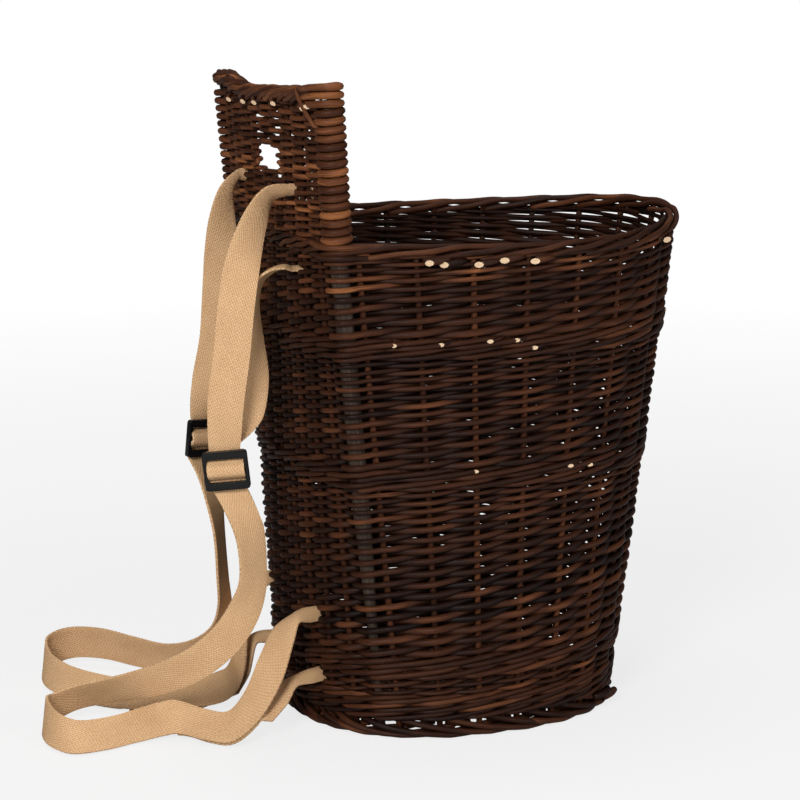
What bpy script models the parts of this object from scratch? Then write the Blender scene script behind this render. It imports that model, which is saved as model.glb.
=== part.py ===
"""Pack basket for carrying harvested fruit on the back.

A willow basket with an oval base, a rounded front and a flat back that rises
above the rim between two thick corner posts. +X points to the front of the
basket, away from the wearer, +Y to its far side and +Z up. The origin is on
the ground under the middle of the basket, without its straps. Sizes and places
below are given from the middle of the base.
"""
import math

import bmesh
import bpy
from mathutils import Matrix, Vector

# Plan of the base, an oval that is a little squarer than an ellipse
BASE_HALF_DEPTH = 0.145
BASE_HALF_WIDTH = 0.135
BASE_SQUARENESS = 2.37
BASE_BEHIND_MIDDLE = 0.0207
POST_FOOT_ANGLE = math.radians(130.6)

# Plan of the rim: a rounded front, bowed sides and a flat back
RIM_FRONT = 0.211
RIM_CENTRE = 0.020
RIM_HALF_WIDTH = 0.166
POST_RIM_BACK = 0.150
POST_RIM_SIDE = 0.132
BACK_BOW = 0.012

# Top of the raised back
POST_TOP_BACK = 0.160
POST_TOP_SIDE = 0.140
TOP_BOW = 0.008

# Height of each woven piece, from the ground up
FOOT_HEIGHT = 0.017
FOOT_WALING_HEIGHT = 0.021
UPSET_WEAVE_HEIGHT = 0.018
UPSET_WALING_HEIGHT = 0.018
LOWER_WEAVE_HEIGHT = 0.161
MIDDLE_WEAVE_HEIGHT = 0.114
UPPER_WEAVE_HEIGHT = 0.075
RIM_BORDER_HEIGHT = 0.017
RAISED_WEAVE_HEIGHT = 0.112
TOP_BORDER_HEIGHT = 0.017
RIM_FRONT_RISE = 0.010
RIM_SIDE_DIP = 0.003

# Rods
STAKE_DIAMETER = 0.006
POST_DIAMETER = 0.016
SIDE_STAKES = 19
BACK_STAKES = 9
CORNER_STAKE_SPACING = 0.016
STAKE_FOOT = 0.008
STAKE_END_COVER = 0.006

# Woven wall
WALL_THICKNESS = 0.013
POST_WEAVE_COVER = 0.0045
FIT_GAP = 0.0003
OVERRUN = 0.002
BESIDE_POST_SHARE = 0.45
REBATE_DEPTH = 0.0020
WALE_HEIGHT = 0.016
WALE_RELIEF = 0.0045
WALE_GROOVE = 0.0015
WALING_RELIEF = 0.0020

# Borders
BORDER_OVERHANG = 0.0030
BORDER_LAY_RELIEF = 0.0016
TOP_BORDER_THICKNESS = 0.022
TOP_BORDER_EDGE = 0.004
TOP_EAR_RISE = 0.006

# Hand hole in the raised back
HAND_HOLE_WIDTH = 0.066
HAND_HOLE_HEIGHT = 0.024
HAND_HOLE_BELOW_TOP = 0.042

# Slots that the webbing goes through, between two back stakes
SLOT_WIDTH = 0.0195
SLOT_HEIGHT = 0.008
LOWER_SLOT_WIDTH = 0.0145
SLOT_SPACE = 2.5
UPPER_SLOT_ABOVE_RIM = 0.037
RIM_SLOT_BELOW_WEAVE_TOP = 0.012
LOWER_SLOT_ABOVE_UPSET = 0.030
FOOT_SLOT_ABOVE_WALING = 0.010

# Webbing shoulder straps and their slides
STRAP_WIDTH = 0.031
STRAP_THICKNESS = 0.0022
GATHERED_SHARE = 0.42
SLIDE_WIDTH = 0.0385
SLIDE_HEIGHT = 0.029
SLIDE_THICKNESS = 0.004
SLIDE_BAR = 0.004
SLIDE_SIDE_BAR = 0.0027
SLIDE_CORNER = 0.0025
HUMP_CLEARANCE = 0.0008
INSIDE_RUN_GAP = 0.0008
WEBBING_END_GAP = 0.0008
LAYER_GAP = 0.0014

# Base
BASE_UNDERSIDE = 0.009
BASE_THICKNESS = 0.010
BASE_CROWN = 0.005
BASE_STICK_DIAMETER = 0.0055
BASE_STICKS_ALONG = 3
BASE_STICKS_ACROSS = 4
BASE_STICK_SPACING = 0.034
STICK_REACH_SHARE = 0.85
CROSS_STICK_SHARE = 0.86
CROSS_STICK_DROP_SHARE = 0.11
CROWN_SHARE = 0.6

# Levels that the heights add up to
FOOT_WALING_TOP = FOOT_HEIGHT + FOOT_WALING_HEIGHT
UPSET_WEAVE_TOP = FOOT_WALING_TOP + UPSET_WEAVE_HEIGHT
UPSET_TOP = UPSET_WEAVE_TOP + UPSET_WALING_HEIGHT
MIDDLE_WALE_LEVEL = UPSET_TOP + LOWER_WEAVE_HEIGHT
UPPER_WALE_LEVEL = MIDDLE_WALE_LEVEL + MIDDLE_WEAVE_HEIGHT
WEAVE_TOP = UPPER_WALE_LEVEL + UPPER_WEAVE_HEIGHT
RIM_TOP = WEAVE_TOP + RIM_BORDER_HEIGHT
RAISED_WEAVE_TOP = RIM_TOP + RAISED_WEAVE_HEIGHT
BACK_TOP = RAISED_WEAVE_TOP + TOP_BORDER_HEIGHT
HAND_HOLE_TOP = RAISED_WEAVE_TOP - HAND_HOLE_BELOW_TOP
HAND_HOLE_BOTTOM = HAND_HOLE_TOP - HAND_HOLE_HEIGHT
UPPER_SLOT_LEVEL = RIM_TOP + UPPER_SLOT_ABOVE_RIM
RIM_SLOT_LEVEL = WEAVE_TOP - RIM_SLOT_BELOW_WEAVE_TOP
LOWER_SLOT_LEVEL = UPSET_TOP + LOWER_SLOT_ABOVE_UPSET
FOOT_SLOT_LEVEL = FOOT_WALING_TOP + FOOT_SLOT_ABOVE_WALING

HALF_WALL = WALL_THICKNESS / 2
STAKE_RADIUS = STAKE_DIAMETER / 2
POST_RADIUS = POST_DIAMETER / 2
STAKE_SIDES = 6
POST_SIDES = 8
OUTLINE_STEPS = 240
POST_WRAP_STEPS = 4
ROUTE_STEPS = 2
SLIDE_CORNER_STEPS = 2
SLIDE_CLEAR = SLIDE_THICKNESS / 2 + STRAP_THICKNESS / 2 + HUMP_CLEARANCE
END_BAR_CENTRE = (SLIDE_HEIGHT - SLIDE_BAR) / 2
HUMP_REACH = END_BAR_CENTRE + SLIDE_BAR
INNER_RUN_BEHIND = STRAP_THICKNESS * 4
INNER_RUN_ABOVE = SLIDE_HEIGHT / 2 + STRAP_THICKNESS * 2
HALF_SIDE_SPACES = (SIDE_STAKES + 1) // 2
STATIONS = SIDE_STAKES + BACK_STAKES + 2
FAR_POST_STATION = SIDE_STAKES + 1
MIDDLE_BACK_STATION = FAR_POST_STATION + (BACK_STAKES + 1) // 2
SHORT_STAKES = (MIDDLE_BACK_STATION - 1, MIDDLE_BACK_STATION, MIDDLE_BACK_STATION + 1)


def make_material(name, colour, roughness):
    material = bpy.data.materials.new(name)
    material.use_nodes = True
    shader = material.node_tree.nodes["Principled BSDF"]
    shader.inputs["Base Color"].default_value = (*colour, 1.0)
    shader.inputs["Roughness"].default_value = roughness
    shader.inputs["Metallic"].default_value = 0.0
    return material


def place_object(name, data, collection):
    """Everything hangs on one empty, which sets the basket on the shared origin."""
    part = bpy.data.objects.new(name, data)
    part.parent = basket
    collection.objects.link(part)
    return part


def add_object(name, mesh, material, collection):
    if material:
        mesh.materials.append(material)
    return place_object(name, mesh, collection)


def mesh_from(bm, name):
    bmesh.ops.recalc_face_normals(bm, faces=bm.faces)
    mesh = bpy.data.meshes.new(name)
    bm.to_mesh(mesh)
    bm.free()
    return mesh


# Plan outlines, measured along their length
def signed_power(value, exponent):
    return math.copysign(abs(value) ** exponent, value)


def base_outline_point(angle):
    exponent = 2 / BASE_SQUARENESS
    return Vector((
        BASE_HALF_DEPTH * signed_power(math.cos(angle), exponent),
        -BASE_HALF_WIDTH * signed_power(math.sin(angle), exponent),
    ))


def base_path(start_angle, end_angle):
    step_angle = (end_angle - start_angle) / OUTLINE_STEPS
    return [base_outline_point(start_angle + step_angle * step) for step in range(OUTLINE_STEPS + 1)]


def rim_side_path():
    """Near half of the rim, from the near post round to the middle of the front."""
    points = []
    for step in range(OUTLINE_STEPS):
        share = step / OUTLINE_STEPS
        along = -POST_RIM_BACK + (RIM_CENTRE + POST_RIM_BACK) * share
        bow = (RIM_HALF_WIDTH - POST_RIM_SIDE) * math.sin(share * math.pi / 2)
        points.append(Vector((along, -POST_RIM_SIDE - bow)))
    for step in range(OUTLINE_STEPS + 1):
        angle = math.pi / 2 * (1 - step / OUTLINE_STEPS)
        along = RIM_CENTRE + (RIM_FRONT - RIM_CENTRE) * math.cos(angle)
        points.append(Vector((along, -RIM_HALF_WIDTH * math.sin(angle))))
    return points


def back_path(post_back, post_side, bow):
    """Back edge from the near post to the middle, flat with a quick turn at the post."""
    points = []
    for step in range(OUTLINE_STEPS + 1):
        share = 1 - step / OUTLINE_STEPS
        points.append(Vector((-post_back - bow * (1 - share ** 4), -post_side * share)))
    return points


def along_path(points, distance):
    for start, end in zip(points, points[1:]):
        length = (end - start).length
        if distance <= length:
            return start.lerp(end, distance / length)
        distance -= length
    return points[-1].copy()


def path_length(points):
    return sum((end - start).length for start, end in zip(points, points[1:]))


def side_positions(points, first_spacing):
    """Near post, the stake close beside it, then even steps to the front's middle stake."""
    total = path_length(points)
    step = (total - first_spacing) / (HALF_SIDE_SPACES - 1)
    distances = [0.0] + [first_spacing + step * index for index in range(HALF_SIDE_SPACES)]
    return [along_path(points, distance) for distance in distances]


def back_positions(points):
    """Back stakes from the near post to the middle one."""
    spaces = (BACK_STAKES + 1) // 2
    total = path_length(points)
    return [along_path(points, total * index / spaces) for index in range(1, spaces + 1)]


def mirrored(point):
    return Vector((point.x, -point.y))


def all_stations(side_half, back_half):
    """Closed list: near post, side stakes, far post, back stakes from far to near."""
    near_side = side_half
    far_side = [mirrored(point) for point in reversed(side_half[:-1])]
    far_back = [mirrored(point) for point in back_half]
    near_back = list(reversed(back_half[:-1]))
    return near_side + far_side + far_back + near_back


base_side = side_positions(base_path(POST_FOOT_ANGLE, 0.0), CORNER_STAKE_SPACING)
base_back = back_positions(base_path(POST_FOOT_ANGLE, math.pi))
rim_side = side_positions(rim_side_path(), CORNER_STAKE_SPACING)
rim_back = back_positions(back_path(POST_RIM_BACK, POST_RIM_SIDE, BACK_BOW))
top_back = back_positions(back_path(POST_TOP_BACK, POST_TOP_SIDE, TOP_BOW))
BASE_PLAN = all_stations(base_side, base_back)
RIM_PLAN = all_stations(rim_side, rim_back)
top_near_post = Vector((-POST_TOP_BACK, -POST_TOP_SIDE))
TOP_PLAN = all_stations([top_near_post] * (HALF_SIDE_SPACES + 1), top_back)


def between(plan, station):
    """Point at a whole or part station of a closed list."""
    lower = math.floor(station)
    start = plan[lower % STATIONS]
    end = plan[(lower + 1) % STATIONS]
    return start.lerp(end, station - lower)


def axis_point(station, height):
    """Point on a stake's straight line at a height."""
    share = height / RIM_TOP
    plan = between(BASE_PLAN, station).lerp(between(RIM_PLAN, station), share)
    return Vector((plan.x, plan.y, height))


def outward(station, height):
    """Level direction square to the wall at a station."""
    reach = 0.5
    before = axis_point(station - reach, height)
    after = axis_point(station + reach, height)
    tangent = after - before
    return Vector((tangent.y, -tangent.x, 0)).normalized()


def is_post(station):
    nearest = round(station) % STATIONS
    return abs(station - round(station)) < 0.1 and nearest in (0, FAR_POST_STATION)


def wall_point(station, offset, height):
    return axis_point(station, height) + outward(station, height) * offset


def rim_lift(station):
    """The rim dips along the sides and rises to the front."""
    along = between(RIM_PLAN, station).x
    share = max(0.0, (along + POST_RIM_BACK) / (RIM_FRONT + POST_RIM_BACK))
    return RIM_FRONT_RISE * share ** 6 - RIM_SIDE_DIP * math.sin(math.pi * share)


# Rings that go right round the basket
def ring_stations():
    """Every stake, and the middle of every space but those of the nearly straight back."""
    stations = []
    for index in range(STATIONS):
        stations.append(float(index))
        if index <= FAR_POST_STATION or index == STATIONS - 1:
            stations.append(index + 0.5)
    return stations


def loft_ring(name, section, material, collection):
    """Closed ring lofted through a section given for each station as (offset, height) pairs."""
    bm = bmesh.new()
    loops = []
    for station in ring_stations():
        loop = [bm.verts.new(wall_point(station, offset, height)) for offset, height in section(station)]
        loops.append(loop)
    for loop, following in zip(loops, loops[1:] + loops[:1]):
        for index in range(len(loop)):
            after = (index + 1) % len(loop)
            bm.faces.new((loop[index], loop[after], following[after], following[index]))
    return add_object(name, mesh_from(bm, name), material, collection)


def half_thickness(station):
    """The weave is thicker where it goes round a post."""
    if is_post(station):
        return POST_RADIUS + POST_WEAVE_COVER
    if is_post(station - 0.5) or is_post(station + 0.5):
        return POST_RADIUS + POST_WEAVE_COVER * BESIDE_POST_SHARE
    return HALF_WALL


def band_section(bottom, top, bottom_rebate, top_rebate, lift):
    """Section of a woven band, with a step in its outer edge where a wale sits."""
    rebate_height = WALE_HEIGHT / 2 + FIT_GAP

    def section(station):
        half = half_thickness(station)
        top_here = top + (rim_lift(station) if lift else 0.0)
        points = [(-half, bottom)]
        if bottom_rebate:
            points += [(half - REBATE_DEPTH, bottom), (half - REBATE_DEPTH, bottom + rebate_height)]
            points += [(half, bottom + rebate_height)]
        else:
            points += [(half, bottom)]
        if top_rebate:
            points += [(half, top_here - rebate_height), (half - REBATE_DEPTH, top_here - rebate_height)]
            points += [(half - REBATE_DEPTH, top_here)]
        else:
            points += [(half, top_here)]
        return points + [(-half, top_here)]

    return section


def wale_section(centre):
    """A ring of two twisted rows, proud of the wall, with a groove between the rows."""
    half_height = WALE_HEIGHT / 2

    def section(station):
        seat = half_thickness(station) - REBATE_DEPTH + FIT_GAP
        face = half_thickness(station) + WALE_RELIEF
        shoulder = (seat + face) / 2
        return [
            (seat, centre - half_height),
            (shoulder, centre - half_height),
            (face, centre - half_height / 2),
            (face - WALE_GROOVE, centre),
            (face, centre + half_height / 2),
            (shoulder, centre + half_height),
            (seat, centre + half_height),
        ]

    return section


def waling_section(bottom, top):
    """A band of two twisted rows, as thick as the wall at its edges and proud at each row."""

    def section(station):
        half = half_thickness(station)
        row = (top - bottom) / 4
        return [
            (-half, bottom),
            (half, bottom),
            (half + WALING_RELIEF, bottom + row),
            (half + WALING_RELIEF - WALE_GROOVE, bottom + row * 2),
            (half + WALING_RELIEF, bottom + row * 3),
            (half, top),
            (-half, top),
        ]

    return section


def border_section(bottom, top, lift):
    """Plaited border: lobes of the plait lean along the ring."""

    def section(station):
        half = half_thickness(station) + BORDER_OVERHANG
        rise = rim_lift(station) if lift else 0.0
        low = bottom + rise
        high = top + rise
        middle = (low + high) / 2
        quarter = (high - low) / 4
        lay = BORDER_LAY_RELIEF if station == int(station) else 0.0
        rest = half - BORDER_OVERHANG
        return [
            (-rest, low),
            (rest, low),
            (half - lay, middle - quarter),
            (half, middle + quarter),
            (rest - BORDER_OVERHANG, high - lay),
            (-rest + BORDER_OVERHANG, high - lay),
            (-half, middle + quarter),
            (-half + lay, middle - quarter),
        ]

    return section


def make_prism(start, end, radius, sides):
    """Closed prism along a line, wide enough at its flats for the radius."""
    direction = end - start
    bm = bmesh.new()
    bmesh.ops.create_cone(
        bm,
        cap_ends=True,
        segments=sides,
        radius1=radius / math.cos(math.pi / sides),
        radius2=radius / math.cos(math.pi / sides),
        depth=direction.length,
    )
    turn = direction.to_track_quat("Z", "Y").to_matrix().to_4x4()
    bmesh.ops.transform(bm, matrix=Matrix.Translation((start + end) / 2) @ turn, verts=bm.verts)
    return bm


def add_cutter(name, meshes):
    """One hidden cutter from several closed shapes that stay apart."""
    merged = bmesh.new()
    for bm in meshes:
        piece = bpy.data.meshes.new(name)
        bm.to_mesh(piece)
        bm.free()
        merged.from_mesh(piece)
        bpy.data.meshes.remove(piece)
    cutter = add_object(name, mesh_from(merged, name), None, cutters)
    cutter.display_type = "WIRE"
    cutter.hide_render = True
    return cutter


def cut(part, cutter):
    boolean = part.modifiers.new(cutter.name, "BOOLEAN")
    boolean.operation = "DIFFERENCE"
    boolean.solver = "EXACT"
    boolean.object = cutter


def make_rod(name, points, radius, sides, material):
    """Willow rod along straight stretches, with closed ends."""
    curve = bpy.data.curves.new(name, "CURVE")
    curve.dimensions = "3D"
    curve.bevel_depth = radius
    curve.bevel_resolution = (sides - 4) // 2
    curve.use_fill_caps = True
    spline = curve.splines.new("POLY")
    spline.points.add(len(points) - 1)
    for spline_point, point in zip(spline.points, points):
        spline_point.co = (*point, 1)
    curve.materials.append(material)
    return place_object(name, curve, parts)


def raised_point(station, height):
    """Point on the line of a post or back stake above the rim."""
    share = (height - RIM_TOP) / (BACK_TOP - RIM_TOP)
    plan = between(RIM_PLAN, station).lerp(between(TOP_PLAN, station), share)
    return Vector((plan.x, plan.y, height))


def raised_outward(station, height):
    """Level direction square to the raised back, away from the load."""
    first = max(station - 1, FAR_POST_STATION)
    last = min(station + 1, STATIONS)
    tangent = raised_point(last, height) - raised_point(first, height)
    return Vector((tangent.y, -tangent.x, 0)).normalized()


def raised_stations(first, last):
    """Posts and back stakes, with a place close inside each post where its wrapping ends."""
    whole = [station for station in range(FAR_POST_STATION, STATIONS + 1) if first <= station <= last]
    inside_posts = (FAR_POST_STATION + 0.5, STATIONS - 0.5)
    beside = [station for station in inside_posts if first <= station <= last]
    return sorted({first, last, *whole, *beside})


def raised_outline(height, first, last):
    """Closed outline of part of the raised back at a height, round where it ends at a post."""
    stations = raised_stations(first, last)
    half_at_post = POST_RADIUS + POST_WEAVE_COVER
    points = []
    for side in (1, -1):
        for station in stations if side == 1 else reversed(stations):
            at_post = station in (FAR_POST_STATION, STATIONS)
            offset = half_at_post if at_post else HALF_WALL
            points.append(raised_point(station, height) + raised_outward(station, height) * offset * side)
        end = last if side == 1 else first
        if end not in (FAR_POST_STATION, STATIONS):
            continue
        centre = raised_point(end, height)
        start_direction = raised_outward(end, height) * side
        for step in range(1, POST_WRAP_STEPS):
            turn = Matrix.Rotation(math.pi * step / POST_WRAP_STEPS, 3, "Z")
            points.append(centre + turn @ start_direction * half_at_post)
    return points


def loft_levels(name, outlines, material):
    """Closed solid through outlines of equal count, with flat ends."""
    bm = bmesh.new()
    loops = [[bm.verts.new(point) for point in outline] for outline in outlines]
    for loop, following in zip(loops, loops[1:]):
        for index in range(len(loop)):
            after = (index + 1) % len(loop)
            bm.faces.new((loop[index], loop[after], following[after], following[index]))
    bm.faces.new(list(reversed(loops[0])))
    bm.faces.new(loops[-1])
    return add_object(name, mesh_from(bm, name), material, parts)


def top_rise(point):
    """The top border turns up at both ends."""
    return TOP_EAR_RISE * (abs(point.y) / POST_TOP_SIDE) ** 4


def make_top_border():
    """Plaited bar over the raised back, closed round both post ends."""
    stations = raised_stations(FAR_POST_STATION, STATIONS)
    reach = POST_RADIUS + POST_WEAVE_COVER
    first = raised_point(FAR_POST_STATION, RAISED_WEAVE_TOP)
    last = raised_point(STATIONS, RAISED_WEAVE_TOP)
    lengthwise = (last - first).normalized()
    axes = [(first - lengthwise * reach, raised_outward(FAR_POST_STATION, RAISED_WEAVE_TOP), True)]
    for station in stations:
        place = raised_point(station, RAISED_WEAVE_TOP)
        axes.append((place, raised_outward(station, RAISED_WEAVE_TOP), False))
    axes.append((last + lengthwise * reach, raised_outward(STATIONS, RAISED_WEAVE_TOP), True))
    outlines = []
    for index, (point, direction, at_end) in enumerate(axes):
        half = TOP_BORDER_THICKNESS / 2
        low = RAISED_WEAVE_TOP + FIT_GAP
        high = BACK_TOP - TOP_EAR_RISE + top_rise(point)
        if at_end:
            half -= TOP_BORDER_EDGE
            high -= TOP_BORDER_EDGE
        lay = BORDER_LAY_RELIEF * (index % 2)
        edge = TOP_BORDER_EDGE
        corners = [
            (-half + edge, low),
            (half - edge, low),
            (half - lay, low + edge),
            (half, high - edge),
            (half - edge, high - lay),
            (-half + edge, high - lay),
            (-half, high - edge),
            (-half + lay, low + edge),
        ]
        outline = []
        for offset, height in corners:
            place = point + direction * offset
            outline.append(Vector((place.x, place.y, height)))
        outlines.append(outline)
    return loft_levels("top_border", outlines, dark_willow)


def make_slot_cutter(station, height, width, on_raised_back):
    """Flat slot square through the back, midway between two stakes."""
    if on_raised_back:
        centre = raised_point(station, height)
        direction = raised_outward(station, height)
    else:
        centre = axis_point(station, height)
        direction = outward(station, height)
    depth = WALL_THICKNESS * 2
    bm = bmesh.new()
    bmesh.ops.create_cube(bm, size=1.0)
    bmesh.ops.scale(bm, vec=(depth, width, SLOT_HEIGHT), verts=bm.verts)
    turn = Matrix.Rotation(math.atan2(direction.y, direction.x), 4, "Z")
    bmesh.ops.transform(bm, matrix=Matrix.Translation(centre) @ turn, verts=bm.verts)
    return bm


def make_raised_weave(name, low, high, first, last):
    """One woven piece of the raised back, bored for the posts and stakes that stand in it."""
    outlines = [raised_outline(height, first, last) for height in (low, high)]
    woven = loft_levels(name, outlines, dark_willow)
    inside = [station for station in range(FAR_POST_STATION, STATIONS + 1) if first <= station <= last]
    cut(woven, add_cutter(f"{name}_bores", bore_shapes(low - OVERRUN, high + OVERRUN, True, inside)))
    return woven


def make_base_weave():
    """Oval woven floor, slightly crowned, inside the foot border."""
    rings = []
    for height in (BASE_UNDERSIDE, BASE_UNDERSIDE + BASE_THICKNESS):
        ring = []
        for station in ring_stations():
            offset = -half_thickness(station) - BORDER_OVERHANG - FIT_GAP
            ring.append(wall_point(station, offset, height))
        rings.append(ring)
    bm = bmesh.new()
    loops = [[bm.verts.new(point) for point in ring] for ring in rings]
    for index in range(len(loops[0])):
        after = (index + 1) % len(loops[0])
        bm.faces.new((loops[0][index], loops[0][after], loops[1][after], loops[1][index]))
    for loop in loops:
        inner = []
        for vert in loop:
            place = vert.co.copy()
            inner_point = Vector((place.x * CROWN_SHARE, place.y * CROWN_SHARE, place.z + BASE_CROWN))
            inner.append(bm.verts.new(inner_point))
        for index in range(len(loop)):
            after = (index + 1) % len(loop)
            bm.faces.new((loop[index], loop[after], inner[after], inner[index]))
        bm.faces.new(inner)
    return add_object("base_weave", mesh_from(bm, "base_weave"), dark_willow, parts)


def stick_lattice():
    """Crossed rods under the flat middle of the floor, as closed prisms."""
    shapes = []
    radius = BASE_STICK_DIAMETER / 2
    height = BASE_UNDERSIDE + BASE_CROWN - FIT_GAP - radius / math.cos(math.pi / STAKE_SIDES)
    reach = BASE_HALF_DEPTH * CROWN_SHARE * STICK_REACH_SHARE
    for index in range(BASE_STICKS_ALONG):
        across = (index - (BASE_STICKS_ALONG - 1) / 2) * BASE_STICK_SPACING
        back_end = Vector((-reach, across, height))
        front_end = Vector((reach, across, height))
        shapes.append(make_prism(back_end, front_end, radius, STAKE_SIDES))
    reach = BASE_HALF_WIDTH * CROWN_SHARE * STICK_REACH_SHARE
    thin_radius = radius * CROSS_STICK_SHARE
    for index in range(BASE_STICKS_ACROSS):
        along = (index - (BASE_STICKS_ACROSS - 1) / 2) * BASE_STICK_SPACING
        low = height - radius * CROSS_STICK_DROP_SHARE
        near_end = Vector((along, -reach, low))
        far_end = Vector((along, reach, low))
        shapes.append(make_prism(near_end, far_end, thin_radius, STAKE_SIDES))
    return shapes


def join_shapes(name, shapes, material):
    """One body out of shapes that cross, by Boolean union."""
    body = add_object(name, mesh_from(shapes[0], name), material, parts)
    for index, shape in enumerate(shapes[1:]):
        cutter = add_cutter(f"{name}_rod_{index + 2}", [shape])
        join = body.modifiers.new(cutter.name, "BOOLEAN")
        join.operation = "UNION"
        join.solver = "EXACT"
        join.object = cutter
    return body


# Webbing: each route row is a centre in millimetres, a direction across the
# webbing and the share of its width that it keeps where it is gathered
MM = 0.001
LYING = None

NEAR_OUTER_ROUTE = (
    (-232, -80, 301, 0.91, -0.39, -0.17, 1.0),
    (-226, -80, 343, 0.92, -0.38, -0.08, 1.0),
    (-222, -80, 380, 0.93, -0.36, -0.05, 1.0),
    (-217, -78, 410, 0.95, -0.20, -0.15, 1.0),
    (-210, -76, 435, 0.90, 0.10, -0.41, 0.95),
    (-200, -73, 458, 0.79, 0.29, -0.54, 0.82),
    (-188, -70, 475, 0.50, 0.60, -0.62, 0.66),
)
NEAR_INNER_ROUTE = (
    (-176, -69, 414, 0.20, 0.97, -0.10, 0.55),
    (-187, -68, 411, 0.35, 0.90, -0.25, 0.65),
    (-198, -68, 402, 0.52, 0.83, -0.19, 0.80),
    (-203, -67, 383, 0.62, 0.76, -0.19, 0.95),
    (-203, -66, 353, 0.80, 0.55, -0.17, 1.0),
    (-203, -66, 319, 0.95, 0.20, -0.14, 1.0),
    (-211, -67, 286, 0.94, -0.10, -0.16, 1.0),
)
NEAR_LOWER_ROUTE = (
    (-219, -78, 207, 0.93, -0.10, -0.15, 1.0),
    (-212, -78, 188, 0.93, 0.30, -0.08, 1.0),
    (-209, -78, 163, 0.89, 0.42, -0.15, 1.0),
    (-210, -78, 138, 0.88, 0.34, -0.34, 1.0),
    (-219, -78, 115, 0.78, 0.05, -0.63, 1.0),
    (-234, -76, 94, 0.63, -0.04, -0.77, 1.0),
    (-254, -70, 76, 0.47, -0.02, -0.88, 1.0),
    (-274, -56, 62, 0.35, 0.09, -0.93, 1.0),
    (-297, -32, 48, 0.28, 0.28, -0.92, 1.0),
    (-321, -4, 36, 0.24, 0.45, -0.86, 1.0),
    (-344, 20, 25, 0.20, 0.48, -0.86, 1.0),
    (-363, 24, LYING, 0.05, 0.32, -0.94, 1.0),
    (-376, 4, LYING, -0.15, -0.10, -0.97, 1.0),
    (-376, -28, LYING, -0.28, -0.40, -0.87, 1.0),
    (-362, -50, LYING, -0.30, -0.62, -0.72, 1.0),
    (-331, -50, LYING, -0.26, -0.65, -0.72, 1.0),
    (-302, -42, LYING, -0.20, -0.58, -0.79, 1.0),
    (-271, -44, 18, -0.10, -0.61, -0.79, 1.0),
    (-250, -68, 16, -0.16, -0.72, -0.67, 1.0),
    (-232, -82, 17, -0.12, -0.78, -0.61, 1.0),
    (-212, -82, 34, 0.15, -0.77, -0.63, 1.0),
    (-194, -77, 62, 0.42, -0.80, -0.42, 1.0),
    (-180, -71, 90, 0.40, -0.88, -0.20, 0.85),
    (-168, -68, 104, 0.10, -0.99, -0.05, 0.6),
)
FAR_OUTER_ROUTE = (
    (-205, 57, 296, 0.86, -0.42, -0.28, 1.0),
    (-198, 55, 333, 0.92, -0.38, -0.11, 1.0),
    (-195, 55, 369, 0.92, -0.38, -0.06, 1.0),
    (-192, 57, 405, 0.96, -0.20, -0.17, 1.0),
    (-189, 61, 436, 0.90, 0.11, -0.34, 0.9),
    (-183, 65, 462, 0.66, 0.40, -0.62, 0.72),
)
FAR_INNER_ROUTE = (
    (-172, 68, 411, 0.20, 0.97, -0.10, 0.6),
    (-178, 68, 398, 0.40, 0.88, -0.25, 0.75),
    (-179, 68, 370, 0.57, 0.80, -0.19, 0.9),
    (-178, 70, 331, 0.75, 0.60, -0.18, 1.0),
    (-186, 74, 295, 0.92, 0.10, -0.20, 1.0),
)
FAR_LOWER_ROUTE = (
    (-205, 58, 205, 0.82, 0.40, -0.25, 1.0),
    (-201, 58, 180, 0.68, 0.70, -0.20, 1.0),
    (-197, 59, 150, 0.55, 0.81, -0.19, 1.0),
    (-193, 64, 110, 0.56, 0.78, -0.25, 1.0),
    (-189, 72, 78, 0.62, 0.72, -0.30, 1.0),
    (-192, 84, 50, 0.62, 0.55, -0.57, 1.0),
    (-206, 102, 28, 0.44, 0.25, -0.87, 1.0),
    (-228, 126, LYING, 0.26, 0.13, -0.96, 1.0),
    (-254, 152, 19, 0.16, 0.05, -0.98, 1.0),
    (-280, 176, 23, 0.12, 0.03, -0.99, 1.0),
    (-308, 190, 23, 0.08, 0.02, -0.99, 1.0),
    (-334, 176, 20, -0.10, -0.15, -0.98, 1.0),
    (-342, 142, LYING, -0.26, -0.35, -0.90, 1.0),
    (-334, 104, LYING, -0.33, -0.52, -0.79, 1.0),
    (-314, 72, LYING, -0.32, -0.62, -0.72, 1.0),
    (-287, 48, LYING, -0.32, -0.68, -0.66, 1.0),
    (-258, 30, 16, -0.28, -0.70, -0.66, 1.0),
    (-228, 22, 16, -0.18, -0.74, -0.65, 1.0),
    (-202, 28, 18, -0.05, -0.80, -0.60, 1.0),
    (-184, 48, 30, 0.05, -0.84, -0.54, 1.0),
    (-176, 62, 62, 0.05, -0.92, -0.38, 0.9),
    (-170, 67, 92, 0.02, -0.97, -0.24, 0.7),
)

NEAR_RETURN_ROUTE = (
    (-170, -69, 47, 0.05, -0.99, -0.05, 0.6),
    (-184, -74, 38, 0.12, -0.90, -0.35, 0.9),
    (-199, -79, 29, 0.10, -0.80, -0.55, 1.0),
)
FAR_RETURN_ROUTE = (
    (-164, 66, 46, 0.02, -0.97, -0.10, 0.6),
    (-176, 56, 26, 0.05, -0.86, -0.45, 0.9),
    (-190, 42, 16, 0.02, -0.82, -0.55, 1.0),
)
# First and last row of each lower route that has the sewn return behind it
NEAR_DOUBLED_ROWS = (17, 20)
FAR_DOUBLED_ROWS = (15, 17)


def catmull(before, start, end, after, share):
    """Smooth curve through start and end."""
    return 0.5 * (
        2 * start
        + (end - before) * share
        + (2 * before - 5 * start + 4 * end - after) * share ** 2
        + (3 * start - before - 3 * end + after) * share ** 3
    )


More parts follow.
